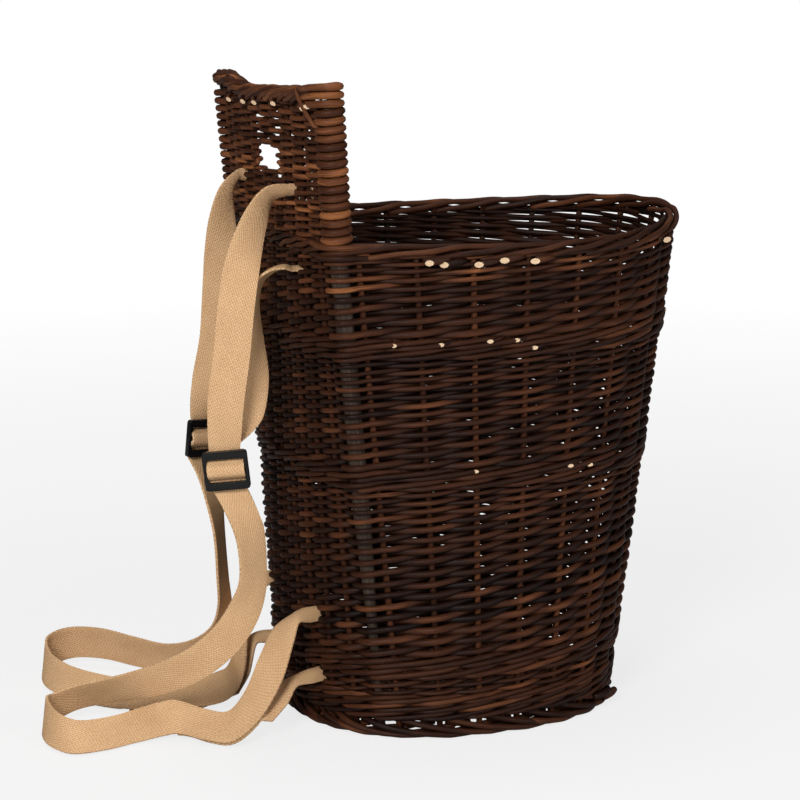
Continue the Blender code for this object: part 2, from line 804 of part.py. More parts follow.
def route_row(row):
    x, y, z, across_x, across_y, across_z, keep = row
    across = Vector((across_x, across_y, across_z)).normalized()
    if z is LYING:
        height = STRAP_WIDTH / 2 * abs(across.z) + STRAP_THICKNESS
    else:
        height = z * MM
    return Vector((x * MM, y * MM, height)), across, keep


def smooth_rows(rows):
    """Rows read from a smooth curve through the route's own rows."""
    ends = [rows[0]] + rows + [rows[-1]]
    smooth = []
    for index in range(len(rows) - 1):
        window = ends[index:index + 4]
        for step in range(ROUTE_STEPS):
            share = step / ROUTE_STEPS
            centre = catmull(*[row[0] for row in window], share)
            across = catmull(*[row[1] for row in window], share).normalized()
            keep = window[1][2] + (window[2][2] - window[1][2]) * share
            smooth.append((centre, across, keep))
    return smooth + [rows[-1]]


def rows_behind(rows, first, last):
    """Rows of a second layer, going back along the far face of the first one."""
    layer = []
    for index in range(first, last + 1):
        centre, across, keep = rows[index]
        tangent = (rows[index + 1][0] - rows[index - 1][0]).normalized()
        back = tangent.cross(across).normalized()
        layer.append((centre + back * (STRAP_THICKNESS + LAYER_GAP), across, keep))
    return list(reversed(layer))


def make_webbing(name, rows, material):
    """Flat webbing along rows of centre, direction across and kept share of the width."""
    bm = bmesh.new()
    previous = None
    for centre, across, keep in rows:
        half = across * STRAP_WIDTH / 2 * keep
        pair = (bm.verts.new(centre - half), bm.verts.new(centre + half))
        if previous:
            bm.faces.new((previous[0], previous[1], pair[1], pair[0]))
        previous = pair
    part = add_object(name, mesh_from(bm, name), material, parts)
    thickness = part.modifiers.new("webbing_thickness", "SOLIDIFY")
    thickness.thickness = STRAP_THICKNESS
    thickness.offset = 0
    return part


class Slide:
    """Place of one strap's slide: its centre, the way across it and the way up the webbing."""

    def __init__(self, centre, across, up):
        self.centre = Vector(centre) * MM
        self.up = Vector(up).normalized()
        across = Vector(across)
        self.across = (across - self.up * across.dot(self.up)).normalized()
        self.front = self.across.cross(self.up).normalized()

    def point(self, across, up, front):
        return self.centre + self.across * across + self.up * up + self.front * front

    def matrix(self):
        turn = Matrix((self.across, self.up, self.front)).transposed().to_4x4()
        return Matrix.Translation(self.centre) @ turn


NEAR_SLIDE = Slide((-232, -79, 244), (0.90, -0.40, -0.18), (-0.12, -0.02, 0.99))
FAR_SLIDE = Slide((-210, 58, 243), (0.80, 0.30, -0.40), (0.10, 0.02, 0.98))


def rounded_corners(half_width, half_height, radius, centre_height):
    """Rounded rectangle as a list of points."""
    points = []
    for quarter in range(4):
        across = half_width - radius if quarter in (0, 3) else radius - half_width
        up = half_height - radius if quarter in (0, 1) else radius - half_height
        for step in range(SLIDE_CORNER_STEPS + 1):
            angle = math.pi / 2 * (quarter + step / SLIDE_CORNER_STEPS)
            points.append((across + radius * math.cos(angle), centre_height + up + radius * math.sin(angle)))
    return points


def make_slide_frame(name, slide):
    """Moulded frame with a centre bar between two slots."""
    curve = bpy.data.curves.new(name, "CURVE")
    curve.dimensions = "2D"
    curve.fill_mode = "BOTH"
    curve.extrude = SLIDE_THICKNESS / 2
    slot_height = (SLIDE_HEIGHT - 3 * SLIDE_BAR) / 2
    slot_centre = (SLIDE_BAR + slot_height) / 2
    half_opening = SLIDE_WIDTH / 2 - SLIDE_SIDE_BAR
    outlines = [rounded_corners(SLIDE_WIDTH / 2, SLIDE_HEIGHT / 2, SLIDE_CORNER, 0)]
    for side in (1, -1):
        slot_corner = SLIDE_CORNER / 3
        outlines.append(rounded_corners(half_opening, slot_height / 2, slot_corner, side * slot_centre))
    for outline in outlines:
        spline = curve.splines.new("POLY")
        spline.points.add(len(outline) - 1)
        for spline_point, (across, up) in zip(spline.points, outline):
            spline_point.co = (across, up, 0, 1)
        spline.use_cyclic_u = True
    curve.materials.append(black_plastic)
    frame = place_object(name, curve, parts)
    frame.matrix_local = slide.matrix()
    return frame


def hump_rows(slide):
    """The sewn end and the running webbing pass over the centre bar and behind the other two."""
    slot_middle = END_BAR_CENTRE / 2
    edge = SLIDE_BAR / 2 + HUMP_CLEARANCE
    profile = (
        (-HUMP_REACH, -SLIDE_CLEAR),
        (edge - END_BAR_CENTRE, -SLIDE_CLEAR),
        (-slot_middle, 0),
        (-edge, SLIDE_CLEAR),
        (edge, SLIDE_CLEAR),
        (slot_middle, 0),
        (END_BAR_CENTRE - edge, -SLIDE_CLEAR),
        (HUMP_REACH, -SLIDE_CLEAR),
    )
    return [(slide.point(0, up, front), slide.across, 1.0) for up, front in profile]


def hump_end(slide, side):
    """Row where the hanging webbing meets the piece inside the slide."""
    reach = HUMP_REACH + WEBBING_END_GAP
    return (slide.point(0, side * reach, -SLIDE_CLEAR), slide.across, 1.0)


def back_place(station, height, offset):
    """Point beside the back at a height, on the ring wall or on the raised back."""
    if height > RIM_TOP:
        return raised_point(station, height) + raised_outward(station, height) * offset
    return wall_point(station, offset, height)


def across_back(station, height):
    """Level direction along the back."""
    direction = raised_outward(station, height) if height > RIM_TOP else outward(station, height)
    return Vector((-direction.y, direction.x, 0)) * (1 if direction.x < 0 else -1)


def slot_rows(station, height, outside_first):
    """Gathered webbing straight through a slot."""
    across = -across_back(station, height)
    reach = HALF_WALL + STRAP_THICKNESS
    rows = [(back_place(station, height, offset), across, GATHERED_SHARE) for offset in (reach, 0, -reach)]
    return rows if outside_first else list(reversed(rows))


def inside_rows(station, heights, offset):
    """Webbing lying on the inner face of the back between two slots."""
    rows = []
    for height in heights:
        rows.append((back_place(station, height, -offset), -across_back(station, height), GATHERED_SHARE))
    return rows


def make_strap(side, station, slide, outer_route, inner_route, lower_route, return_route, doubled):
    """One shoulder strap: upper loop through the back, slide, long lower loop and its sewn return."""
    upper_offset = HALF_WALL + BORDER_OVERHANG + STRAP_THICKNESS / 2 + INSIDE_RUN_GAP
    meeting = RIM_TOP + STRAP_THICKNESS
    turn_height = STRAP_WIDTH * GATHERED_SHARE / 2
    outer = [hump_end(slide, 1)] + [route_row(row) for row in outer_route]
    outer += slot_rows(station, UPPER_SLOT_LEVEL, True)
    outer += inside_rows(station, (UPPER_SLOT_LEVEL - turn_height, meeting), upper_offset)
    make_webbing(f"{side}_strap_upper", smooth_rows(outer), jute)

    inner = inside_rows(station, (meeting - FIT_GAP, RIM_SLOT_LEVEL + turn_height), upper_offset)
    inner += slot_rows(station, RIM_SLOT_LEVEL, False)
    inner += [route_row(row) for row in inner_route]
    inner.append((slide.point(0, INNER_RUN_ABOVE, -INNER_RUN_BEHIND), slide.across, 1.0))
    make_webbing(f"{side}_strap_inner", smooth_rows(inner), jute)

    lower_offset = HALF_WALL + STRAP_THICKNESS / 2 + INSIDE_RUN_GAP
    middle = (LOWER_SLOT_LEVEL + FOOT_SLOT_LEVEL) / 2
    lower = [hump_end(slide, -1)] + [route_row(row) for row in lower_route]
    lower += slot_rows(station, LOWER_SLOT_LEVEL, True)
    lower += inside_rows(station, (LOWER_SLOT_LEVEL - turn_height, middle + FIT_GAP), lower_offset)
    lower = smooth_rows(lower)
    make_webbing(f"{side}_strap_lower", lower, jute)

    back = inside_rows(station, (middle, FOOT_SLOT_LEVEL + turn_height), lower_offset)
    back += slot_rows(station, FOOT_SLOT_LEVEL, False)
    back += [route_row(row) for row in return_route]
    first, last = [ROUTE_STEPS * (row + 1) for row in doubled]
    make_webbing(f"{side}_strap_return", smooth_rows(back) + rows_behind(lower, first, last), jute)

    make_webbing(f"{side}_slide_webbing", hump_rows(slide), jute)
    make_slide_frame(f"{side}_slide_frame", slide)


def stake_line(station):
    """Ends and bend of a stake, from the foot border to the border that covers its tip."""
    foot = axis_point(station, STAKE_FOOT)
    on_back = station > FAR_POST_STATION or station % STATIONS in (0, FAR_POST_STATION)
    if not on_back:
        return [foot, axis_point(station, RIM_TOP + rim_lift(station) - STAKE_END_COVER)]
    if station in SHORT_STAKES:
        tip = HAND_HOLE_BOTTOM - STAKE_END_COVER
    else:
        tip = BACK_TOP - TOP_EAR_RISE - STAKE_END_COVER
    upper_station = STATIONS if station % STATIONS == 0 else station
    return [foot, axis_point(station, RIM_TOP), raised_point(upper_station, tip)]


def bore_shapes(first, last, upper, stations):
    """Bores for every rod that passes through a woven piece, a gap wider than the rod."""
    shapes = []
    for station in stations:
        line = stake_line(station)
        if upper and len(line) < 3:
            continue
        start, end = (line[1], line[2]) if upper else (line[0], line[1])
        is_thick = is_post(station)
        radius = (POST_RADIUS if is_thick else STAKE_RADIUS) + FIT_GAP
        direction = (end - start).normalized()
        low = max(first, start.z - FIT_GAP) if not upper else first
        high = min(last, end.z + FIT_GAP)
        if high <= low:
            continue
        start_cut = start + direction * (low - start.z) / direction.z
        end_cut = start + direction * (high - start.z) / direction.z
        shapes.append(make_prism(start_cut, end_cut, radius, POST_SIDES if is_thick else STAKE_SIDES))
    return shapes


def station_name(station):
    if station == 0:
        return "near_corner_post"
    if station == FAR_POST_STATION:
        return "far_corner_post"
    if station < FAR_POST_STATION:
        return f"side_stake_{station:02d}"
    return f"back_stake_{station - FAR_POST_STATION:02d}"


for old in list(bpy.data.objects):
    bpy.data.objects.remove(old, do_unlink=True)
parts = bpy.data.collections.new("pack_basket")
cutters = bpy.data.collections.new("cutters")
bpy.context.scene.collection.children.link(parts)
bpy.context.scene.collection.children.link(cutters)

# The shared origin is under the middle of the whole basket, whose rim leans forward of its base
basket = bpy.data.objects.new("basket_origin", None)
basket.location = (-BASE_BEHIND_MIDDLE, 0, 0)
parts.objects.link(basket)

dark_willow = make_material("dark_willow", (0.055, 0.021, 0.012), 0.55)
stake_willow = make_material("stake_willow", (0.070, 0.030, 0.018), 0.55)
post_willow = make_material("post_willow", (0.085, 0.050, 0.035), 0.6)
jute = make_material("jute_webbing", (0.72, 0.45, 0.24), 0.9)
black_plastic = make_material("black_plastic", (0.012, 0.011, 0.012), 0.25)

# Woven bands, wales and borders from the ground up
middle_wale_low = MIDDLE_WALE_LEVEL - FIT_GAP / 2
middle_wale_high = MIDDLE_WALE_LEVEL + FIT_GAP / 2
upper_wale_low = UPPER_WALE_LEVEL - FIT_GAP / 2
upper_wale_high = UPPER_WALE_LEVEL + FIT_GAP / 2
foot_waling_low = FOOT_HEIGHT + FIT_GAP
upset_low = FOOT_WALING_TOP + FIT_GAP
upset_waling_low = UPSET_WEAVE_TOP + FIT_GAP
lower_low = UPSET_TOP + FIT_GAP
rim_low = WEAVE_TOP + FIT_GAP
ring_spans = {
    "foot_border": (0.0, FOOT_HEIGHT),
    "foot_waling": (foot_waling_low, FOOT_WALING_TOP),
    "upset_weave": (upset_low, UPSET_WEAVE_TOP),
    "upset_waling": (upset_waling_low, UPSET_TOP),
    "lower_weave": (lower_low, middle_wale_low),
    "middle_weave": (middle_wale_high, upper_wale_low),
    "upper_weave": (upper_wale_high, WEAVE_TOP),
    "rim_border": (rim_low, RIM_TOP),
}
ring_sections = {
    "foot_border": border_section(*ring_spans["foot_border"], False),
    "foot_waling": waling_section(*ring_spans["foot_waling"]),
    "upset_weave": band_section(*ring_spans["upset_weave"], False, False, False),
    "upset_waling": waling_section(*ring_spans["upset_waling"]),
    "lower_weave": band_section(*ring_spans["lower_weave"], False, True, False),
    "middle_weave": band_section(*ring_spans["middle_weave"], True, True, False),
    "upper_weave": band_section(*ring_spans["upper_weave"], True, False, True),
    "rim_border": border_section(*ring_spans["rim_border"], True),
}
rings = {}
for name, section in ring_sections.items():
    ring = loft_ring(name, section, dark_willow, parts)
    first = ring_spans[name][0] - OVERRUN - RIM_SIDE_DIP
    last = ring_spans[name][1] + OVERRUN + RIM_FRONT_RISE
    cut(ring, add_cutter(f"{name}_bores", bore_shapes(first, last, False, range(STATIONS))))
    rings[name] = ring
loft_ring("middle_wale", wale_section(MIDDLE_WALE_LEVEL), dark_willow, parts)
loft_ring("upper_wale", wale_section(UPPER_WALE_LEVEL), dark_willow, parts)

# Raised back: rows below the hand hole, rows that turn back on each side of it, and rows above it
raised_bottom = RIM_TOP + FIT_GAP
beside_low = HAND_HOLE_BOTTOM + FIT_GAP
beside_high = HAND_HOLE_TOP - FIT_GAP
hole_half_space = HAND_HOLE_WIDTH / 2 / (POST_TOP_SIDE * 2) * (BACK_STAKES + 1)
far_edge = MIDDLE_BACK_STATION - hole_half_space
near_edge = MIDDLE_BACK_STATION + hole_half_space
raised_ends = (FAR_POST_STATION, STATIONS)
lower_raised = make_raised_weave("raised_lower_weave", raised_bottom, HAND_HOLE_BOTTOM, *raised_ends)
make_raised_weave("raised_far_weave", beside_low, beside_high, FAR_POST_STATION, far_edge)
make_raised_weave("raised_near_weave", beside_low, beside_high, near_edge, STATIONS)
make_raised_weave("raised_upper_weave", HAND_HOLE_TOP, RAISED_WEAVE_TOP, *raised_ends)
top_border = make_top_border()
top_bores = bore_shapes(RAISED_WEAVE_TOP - OVERRUN, BACK_TOP, True, range(STATIONS))
cut(top_border, add_cutter("top_border_bores", top_bores))
slot_stations = (STATIONS - SLOT_SPACE, FAR_POST_STATION + SLOT_SPACE)
upper_slots = [make_slot_cutter(station, UPPER_SLOT_LEVEL, SLOT_WIDTH, True) for station in slot_stations]
cut(lower_raised, add_cutter("upper_slots", upper_slots))
for ring_name, height, width in (
    ("upper_weave", RIM_SLOT_LEVEL, SLOT_WIDTH),
    ("lower_weave", LOWER_SLOT_LEVEL, LOWER_SLOT_WIDTH),
    ("upset_weave", FOOT_SLOT_LEVEL, LOWER_SLOT_WIDTH),
):
    slots = [make_slot_cutter(station, height, width, False) for station in slot_stations]
    cut(rings[ring_name], add_cutter(f"{ring_name}_slots", slots))

# Stakes and posts
for station in range(STATIONS):
    thick = is_post(station)
    make_rod(
        station_name(station),
        stake_line(station),
        POST_RADIUS if thick else STAKE_RADIUS,
        POST_SIDES if thick else STAKE_SIDES,
        post_willow if thick else stake_willow,
    )

# Floor
make_base_weave()
join_shapes("base_sticks", stick_lattice(), stake_willow)

# Straps
near_routes = (NEAR_OUTER_ROUTE, NEAR_INNER_ROUTE, NEAR_LOWER_ROUTE, NEAR_RETURN_ROUTE, NEAR_DOUBLED_ROWS)
make_strap("near", STATIONS - SLOT_SPACE, NEAR_SLIDE, *near_routes)
far_routes = (FAR_OUTER_ROUTE, FAR_INNER_ROUTE, FAR_LOWER_ROUTE, FAR_RETURN_ROUTE, FAR_DOUBLED_ROWS)
make_strap("far", FAR_POST_STATION + SLOT_SPACE, FAR_SLIDE, *far_routes)
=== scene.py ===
"""Pack basket of dark willow with a raised back and two webbing shoulder straps."""
import math
import random

import bmesh
import bpy
import numpy as np
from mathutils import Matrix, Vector


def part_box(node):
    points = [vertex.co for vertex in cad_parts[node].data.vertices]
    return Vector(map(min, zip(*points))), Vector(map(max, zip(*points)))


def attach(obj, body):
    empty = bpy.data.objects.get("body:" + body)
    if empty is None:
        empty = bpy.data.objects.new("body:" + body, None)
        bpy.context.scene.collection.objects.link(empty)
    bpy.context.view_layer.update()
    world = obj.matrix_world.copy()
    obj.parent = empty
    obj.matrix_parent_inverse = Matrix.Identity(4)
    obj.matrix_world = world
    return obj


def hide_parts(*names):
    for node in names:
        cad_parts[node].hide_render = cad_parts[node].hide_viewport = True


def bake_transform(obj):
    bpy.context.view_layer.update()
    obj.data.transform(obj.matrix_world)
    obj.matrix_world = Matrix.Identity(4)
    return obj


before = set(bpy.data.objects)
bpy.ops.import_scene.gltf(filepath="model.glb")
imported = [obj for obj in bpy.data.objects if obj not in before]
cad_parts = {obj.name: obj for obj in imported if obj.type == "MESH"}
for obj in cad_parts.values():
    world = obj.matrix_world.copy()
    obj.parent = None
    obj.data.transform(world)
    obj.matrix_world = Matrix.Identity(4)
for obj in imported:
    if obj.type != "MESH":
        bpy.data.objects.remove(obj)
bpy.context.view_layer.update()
dice = random.Random(7)

# The camera stands a little above the rim, to the left of the basket's flat
# back, two metres away. Place and lens were fitted to the outline and the rim.
CAMERA_PLACE = Vector((-0.8233, -1.9302, 0.6869))
CAMERA_LOOK = Vector((0.3595, 0.9127, -0.1941))
FOCAL_LENGTH = 104.95
camera_lens = bpy.data.cameras.new("camera")
camera_lens.lens = FOCAL_LENGTH
camera_lens.sensor_width = 36.0
camera = bpy.data.objects.new("camera", camera_lens)
camera.location = CAMERA_PLACE
camera.rotation_euler = CAMERA_LOOK.to_track_quat("-Z", "Y").to_euler()
bpy.context.scene.collection.objects.link(camera)
bpy.context.scene.camera = camera

# The willow wall. Thirty stakes stand round the basket, a thick post at each
# back corner among them. Every woven rod finds its way from their centre lines.
STATIONS = 30
FAR_POST = 20
POST_STATIONS = (0, FAR_POST)
RIM_LEVEL = 0.441
TIP_BELOW_RIM = 0.006
RAISED_TIP_RISE = 0.02
RING_REACH = 0.0016
RING_INSET = 0.001
OUTWARD_REACH = 0.15
LEAST_GAP = 1e-6
stake_nodes = ["near_corner_post"]
stake_nodes += [f"side_stake_{number:02d}" for number in range(1, 20)]
stake_nodes += ["far_corner_post"]
stake_nodes += [f"back_stake_{number:02d}" for number in range(1, 10)]


def ring_centre(points, level):
    """Middle of the ring of a stake's points near one level."""
    near = [point for point in points if abs(point.z - level) < RING_REACH]
    low = Vector([min(point[axis] for point in near) for axis in range(3)])
    high = Vector([max(point[axis] for point in near) for axis in range(3)])
    return (low + high) / 2


def stake_line(station):
    """Foot, bend and tip of a stake. The tip of a side stake stands in the rim."""
    points = [vertex.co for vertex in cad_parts[stake_nodes[station]].data.vertices]
    foot = ring_centre(points, min(point.z for point in points) + RING_INSET)
    tip = ring_centre(points, max(point.z for point in points) - RING_INSET)
    if 0 < station < FAR_POST:
        rise = (tip - foot) / (tip.z - foot.z)
        return foot, foot + rise * (RIM_LEVEL - foot.z), tip
    return foot, ring_centre(points, RIM_LEVEL), tip


stake_lines = [stake_line(station) for station in range(STATIONS)]
# How far the rim stands above or below its mean level, at each stake
rim_lifts = [0.0] * STATIONS
for station in range(1, FAR_POST):
    rim_lifts[station] = stake_lines[station][2].z - RIM_LEVEL + TIP_BELOW_RIM


def stake_point(station, height):
    foot, bend, tip = stake_lines[station % STATIONS]
    start, end = (bend, tip) if height > bend.z and tip.z > RIM_LEVEL + RAISED_TIP_RISE else (foot, bend)
    return start + (end - start) * ((height - start.z) / (end.z - start.z))


def smooth_between(before, start, end, after, share):
    """Point on a smooth curve, whose bends follow the distances between its points."""
    gap_before = max((start - before).length, LEAST_GAP)
    gap = max((end - start).length, LEAST_GAP)
    gap_after = max((after - end).length, LEAST_GAP)
    slope_before = (start - before) / gap_before
    slope = (end - start) / gap
    slope_after = (after - end) / gap_after
    slope_start = (slope_before * gap + slope * gap_before) / (gap_before + gap)
    slope_end = (slope * gap_after + slope_after * gap) / (gap + gap_after)
    square, cube = share ** 2, share ** 3
    place = start * (2 * cube - 3 * square + 1) + end * (3 * square - 2 * cube)
    return place + (slope_start * (cube - 2 * square + share) + slope_end * (cube - square)) * gap


def wall_middle(station, height):
    lower = math.floor(station)
    window = [stake_point(lower + step, height) for step in (-1, 0, 1, 2)]
    return smooth_between(*window, station - lower)


def wall_outward(station, height):
    along = wall_middle(station + OUTWARD_REACH, height) - wall_middle(station - OUTWARD_REACH, height)
    return Vector((along.y, -along.x, 0)).normalized()


def wall(station, height, offset):
    """Point of the wall at a stake or between two, that far out from its middle."""
    return wall_middle(station, height) + wall_outward(station, height) * offset


def lift(station):
    lower = math.floor(station)
    start, end = rim_lifts[lower % STATIONS], rim_lifts[(lower + 1) % STATIONS]
    return start + (end - start) * (station - lower)


# Shoulder straps of 31 mm jute webbing. Each comes from a slide, passes in and
# out through the back, and makes a long lower loop whose end is sewn back.
MM = 0.001
BASE_BEHIND_MIDDLE = 0.0207
WEBBING_WIDTH = 0.031
WEBBING_THICKNESS = 0.0022
EDGE_ROUND_SHARE = 0.3
GATHERED_SHARE = 0.42
DEEPEST_CUP = 0.003
CUP_SHARE = 0.2
CUP_LEVEL_SHARE = 0.4
LAYER_GAP = 0.0014
HALF_WALL = 0.0065
INSIDE_RUN_GAP = 0.0008
BORDER_OVERHANG = 0.003
UPPER_SLOT, RIM_SLOT, LOWER_SLOT, FOOT_SLOT = 0.478, 0.412, 0.104, 0.048
SLIDE_CLEAR = 0.0039
HUMP_REACH = 0.0165
WEBBING_END_GAP = 0.0002
JOIN_GAP = 0.0003
OUTER_END_SHARE, LOWER_END_SHARE, INNER_END_SHARE = 0.86, 0.94, 0.72
INNER_END_UP, INNER_END_FRONT = 0.0189, -0.0088
NEAR_STATION, FAR_STATION = 27.5, 22.5
ROUTE_STEPS = 8
WEBBING_STRANDS = 8
SEAM_RIDGE = 0.0012
LYING = None

# Rows of each route: a place in millimetres, the way across, the width kept
NEAR_OUTER_ROUTE = (
    (-232, -80, 301, 0.91, -0.39, -0.17, 1.0),
    (-226, -80, 343, 0.92, -0.38, -0.08, 1.0),
    (-222, -80, 380, 0.93, -0.36, -0.05, 1.0),
    (-217, -78, 410, 0.95, -0.20, -0.15, 1.0),
    (-210, -76, 435, 0.90, 0.10, -0.41, 0.95),
    (-200, -73, 458, 0.79, 0.29, -0.54, 0.82),
    (-188, -70, 475, 0.50, 0.60, -0.62, 0.66),
)
NEAR_INNER_ROUTE = (
    (-176, -69, 414, 0.20, 0.97, -0.10, 0.55),
    (-187, -68, 411, 0.35, 0.90, -0.25, 0.65),
    (-198, -68, 402, 0.52, 0.83, -0.19, 0.80),
    (-203, -67, 383, 0.62, 0.76, -0.19, 0.95),
    (-203, -66, 353, 0.80, 0.55, -0.17, 1.0),
    (-203, -66, 319, 0.95, 0.20, -0.14, 1.0),
    (-211, -67, 286, 0.94, -0.10, -0.16, 1.0),
)
NEAR_LOWER_ROUTE = (
    (-219, -78, 207, 0.93, -0.10, -0.15, 1.0),
    (-212, -78, 188, 0.93, 0.30, -0.08, 1.0),
    (-209, -78, 163, 0.89, 0.42, -0.15, 1.0),
    (-210, -78, 138, 0.88, 0.34, -0.34, 1.0),
    (-219, -78, 115, 0.78, 0.05, -0.63, 1.0),
    (-234, -76, 94, 0.63, -0.04, -0.77, 1.0),
    (-254, -70, 76, 0.47, -0.02, -0.88, 1.0),
    (-274, -56, 62, 0.35, 0.09, -0.93, 1.0),
    (-297, -32, 48, 0.28, 0.28, -0.92, 1.0),
    (-321, -4, 36, 0.24, 0.45, -0.86, 1.0),
    (-344, 20, 25, 0.20, 0.48, -0.86, 1.0),
    (-363, 24, LYING, 0.05, 0.32, -0.94, 1.0),
    (-376, 4, LYING, -0.15, -0.10, -0.97, 1.0),
    (-376, -28, LYING, -0.28, -0.40, -0.87, 1.0),
    (-362, -50, LYING, -0.30, -0.62, -0.72, 1.0),
    (-331, -50, LYING, -0.26, -0.65, -0.72, 1.0),
    (-302, -42, LYING, -0.20, -0.58, -0.79, 1.0),
    (-271, -44, 18, -0.10, -0.61, -0.79, 1.0),
    (-250, -68, 16, -0.16, -0.72, -0.67, 1.0),
    (-232, -82, 17, -0.12, -0.78, -0.61, 1.0),
    (-212, -82, 34, 0.15, -0.77, -0.63, 1.0),
    (-194, -77, 62, 0.42, -0.80, -0.42, 1.0),
    (-180, -71, 90, 0.40, -0.88, -0.20, 0.85),
    (-168, -68, 104, 0.10, -0.99, -0.05, 0.6),
)
NEAR_RETURN_ROUTE = (
    (-170, -69, 47, 0.05, -0.99, -0.05, 0.6),
    (-184, -74, 38, 0.12, -0.90, -0.35, 0.9),
    (-199, -79, 29, 0.10, -0.80, -0.55, 1.0),
)
FAR_OUTER_ROUTE = (
    (-205, 57, 296, 0.86, -0.42, -0.28, 1.0),
    (-198, 55, 333, 0.92, -0.38, -0.11, 1.0),
    (-195, 55, 369, 0.92, -0.38, -0.06, 1.0),
    (-192, 57, 405, 0.96, -0.20, -0.17, 1.0),
    (-189, 61, 436, 0.90, 0.11, -0.34, 0.9),
    (-183, 65, 462, 0.66, 0.40, -0.62, 0.72),
)
FAR_INNER_ROUTE = (
    (-172, 68, 411, 0.20, 0.97, -0.10, 0.6),
    (-178, 68, 398, 0.40, 0.88, -0.25, 0.75),
    (-179, 68, 370, 0.57, 0.80, -0.19, 0.9),
    (-178, 70, 331, 0.75, 0.60, -0.18, 1.0),
    (-186, 74, 295, 0.92, 0.10, -0.20, 1.0),
)
FAR_LOWER_ROUTE = (
    (-205, 58, 205, 0.82, 0.40, -0.25, 1.0),
    (-201, 58, 180, 0.68, 0.70, -0.20, 1.0),
    (-197, 59, 150, 0.55, 0.81, -0.19, 1.0),
    (-193, 64, 110, 0.56, 0.78, -0.25, 1.0),
    (-189, 72, 78, 0.62, 0.72, -0.30, 1.0),
    (-192, 84, 50, 0.62, 0.55, -0.57, 1.0),
    (-206, 102, 28, 0.44, 0.25, -0.87, 1.0),
    (-228, 126, LYING, 0.26, 0.13, -0.96, 1.0),
    (-254, 152, 19, 0.16, 0.05, -0.98, 1.0),
    (-280, 176, 23, 0.12, 0.03, -0.99, 1.0),
    (-308, 190, 23, 0.08, 0.02, -0.99, 1.0),
    (-334, 176, 20, -0.10, -0.15, -0.98, 1.0),
    (-342, 142, LYING, -0.26, -0.35, -0.90, 1.0),
    (-334, 104, LYING, -0.33, -0.52, -0.79, 1.0),
    (-314, 72, LYING, -0.32, -0.62, -0.72, 1.0),
    (-287, 48, LYING, -0.32, -0.68, -0.66, 1.0),
    (-258, 30, 16, -0.28, -0.70, -0.66, 1.0),
    (-228, 22, 16, -0.18, -0.74, -0.65, 1.0),
    (-202, 28, 18, -0.05, -0.80, -0.60, 1.0),
    (-184, 48, 30, 0.05, -0.84, -0.54, 1.0),
    (-176, 62, 62, 0.05, -0.92, -0.38, 0.9),
    (-170, 67, 92, 0.02, -0.97, -0.24, 0.7),
)
FAR_RETURN_ROUTE = (
    (-164, 66, 46, 0.02, -0.97, -0.10, 0.6),
    (-176, 56, 26, 0.05, -0.86, -0.45, 0.9),
    (-190, 42, 16, 0.02, -0.82, -0.55, 1.0),
)
# Rows of each lower loop that have the sewn return behind them
NEAR_DOUBLED_ROWS = (17, 20)
FAR_DOUBLED_ROWS = (15, 17)


def slide_place(centre, across, up):
    """Centre of a slide and its own directions: across it, up the webbing, to its front."""
    centre = Vector(centre) * MM - Vector((BASE_BEHIND_MIDDLE, 0, 0))
    up = Vector(up).normalized()
    across = Vector(across)
    across = (across - up * across.dot(up)).normalized()
    return centre, across, up, across.cross(up).normalized()


NEAR_SLIDE = slide_place(centre=(-232, -79, 244), across=(0.90, -0.40, -0.18), up=(-0.12, -0.02, 0.99))
FAR_SLIDE = slide_place(centre=(-210, 58, 243), across=(0.80, 0.30, -0.40), up=(0.10, 0.02, 0.98))


def on_slide(slide, up, front, kept=1.0):
    centre, across, upward, forward = slide
    return centre + upward * up + forward * front, across, kept


def route_row(row):
    x, y, z, across_x, across_y, across_z, kept = row
    across = Vector((across_x, across_y, across_z)).normalized()
    height = WEBBING_WIDTH / 2 * abs(across.z) + WEBBING_THICKNESS if z is LYING else z * MM
    return Vector((x * MM - BASE_BEHIND_MIDDLE, y * MM, height)), across, kept


def evenly_smooth(before, start, end, after, share):
    return 0.5 * (
        2 * start
        + (end - before) * share
        + (2 * before - 5 * start + 4 * end - after) * share ** 2
        + (3 * start - before - 3 * end + after) * share ** 3
    )


def smooth_rows(rows):
    ends = [rows[0]] + rows + [rows[-1]]
    smooth = []
    for index in range(len(rows) - 1):
        window = ends[index:index + 4]
        for step in range(ROUTE_STEPS):
            share = step / ROUTE_STEPS
            centre = evenly_smooth(*[row[0] for row in window], share)
            across = evenly_smooth(*[row[1] for row in window], share).normalized()
            smooth.append((centre, across, window[1][2] + (window[2][2] - window[1][2]) * share))
    return smooth + [rows[-1]]


def rows_behind(rows, first, last):
    """Second layer behind part of the webbing, from its last row to its first."""
    layer = []
    for index in range(last, first - 1, -1):
        centre, across, kept = rows[index]
        along = (rows[index + 1][0] - rows[index - 1][0]).normalized()
        behind = along.cross(across).normalized() * (WEBBING_THICKNESS + LAYER_GAP)
        layer.append((centre + behind, across, kept))
    return layer


def slot_rows(station, height, outside_first, across):
    """Gathered webbing straight through a slot between two stakes."""
    across = Vector(across).normalized()
    reach = HALF_WALL + WEBBING_THICKNESS
    rows = [(wall(station, height, offset), across, GATHERED_SHARE) for offset in (reach, 0, -reach)]
    return rows if outside_first else list(reversed(rows))


def inside_rows(station, heights, offset):
    return [(wall(station, height, -offset), Vector((0, 1, 0)), GATHERED_SHARE) for height in heights]


def set_across(rows):
    """The way across never flips over from one row to the next."""
    settled = [rows[0]]
    for centre, across, kept in rows[1:]:
        if across.dot(settled[-1][1]) < 0:
            across = -across
        settled.append((centre, across, kept))
    return settled


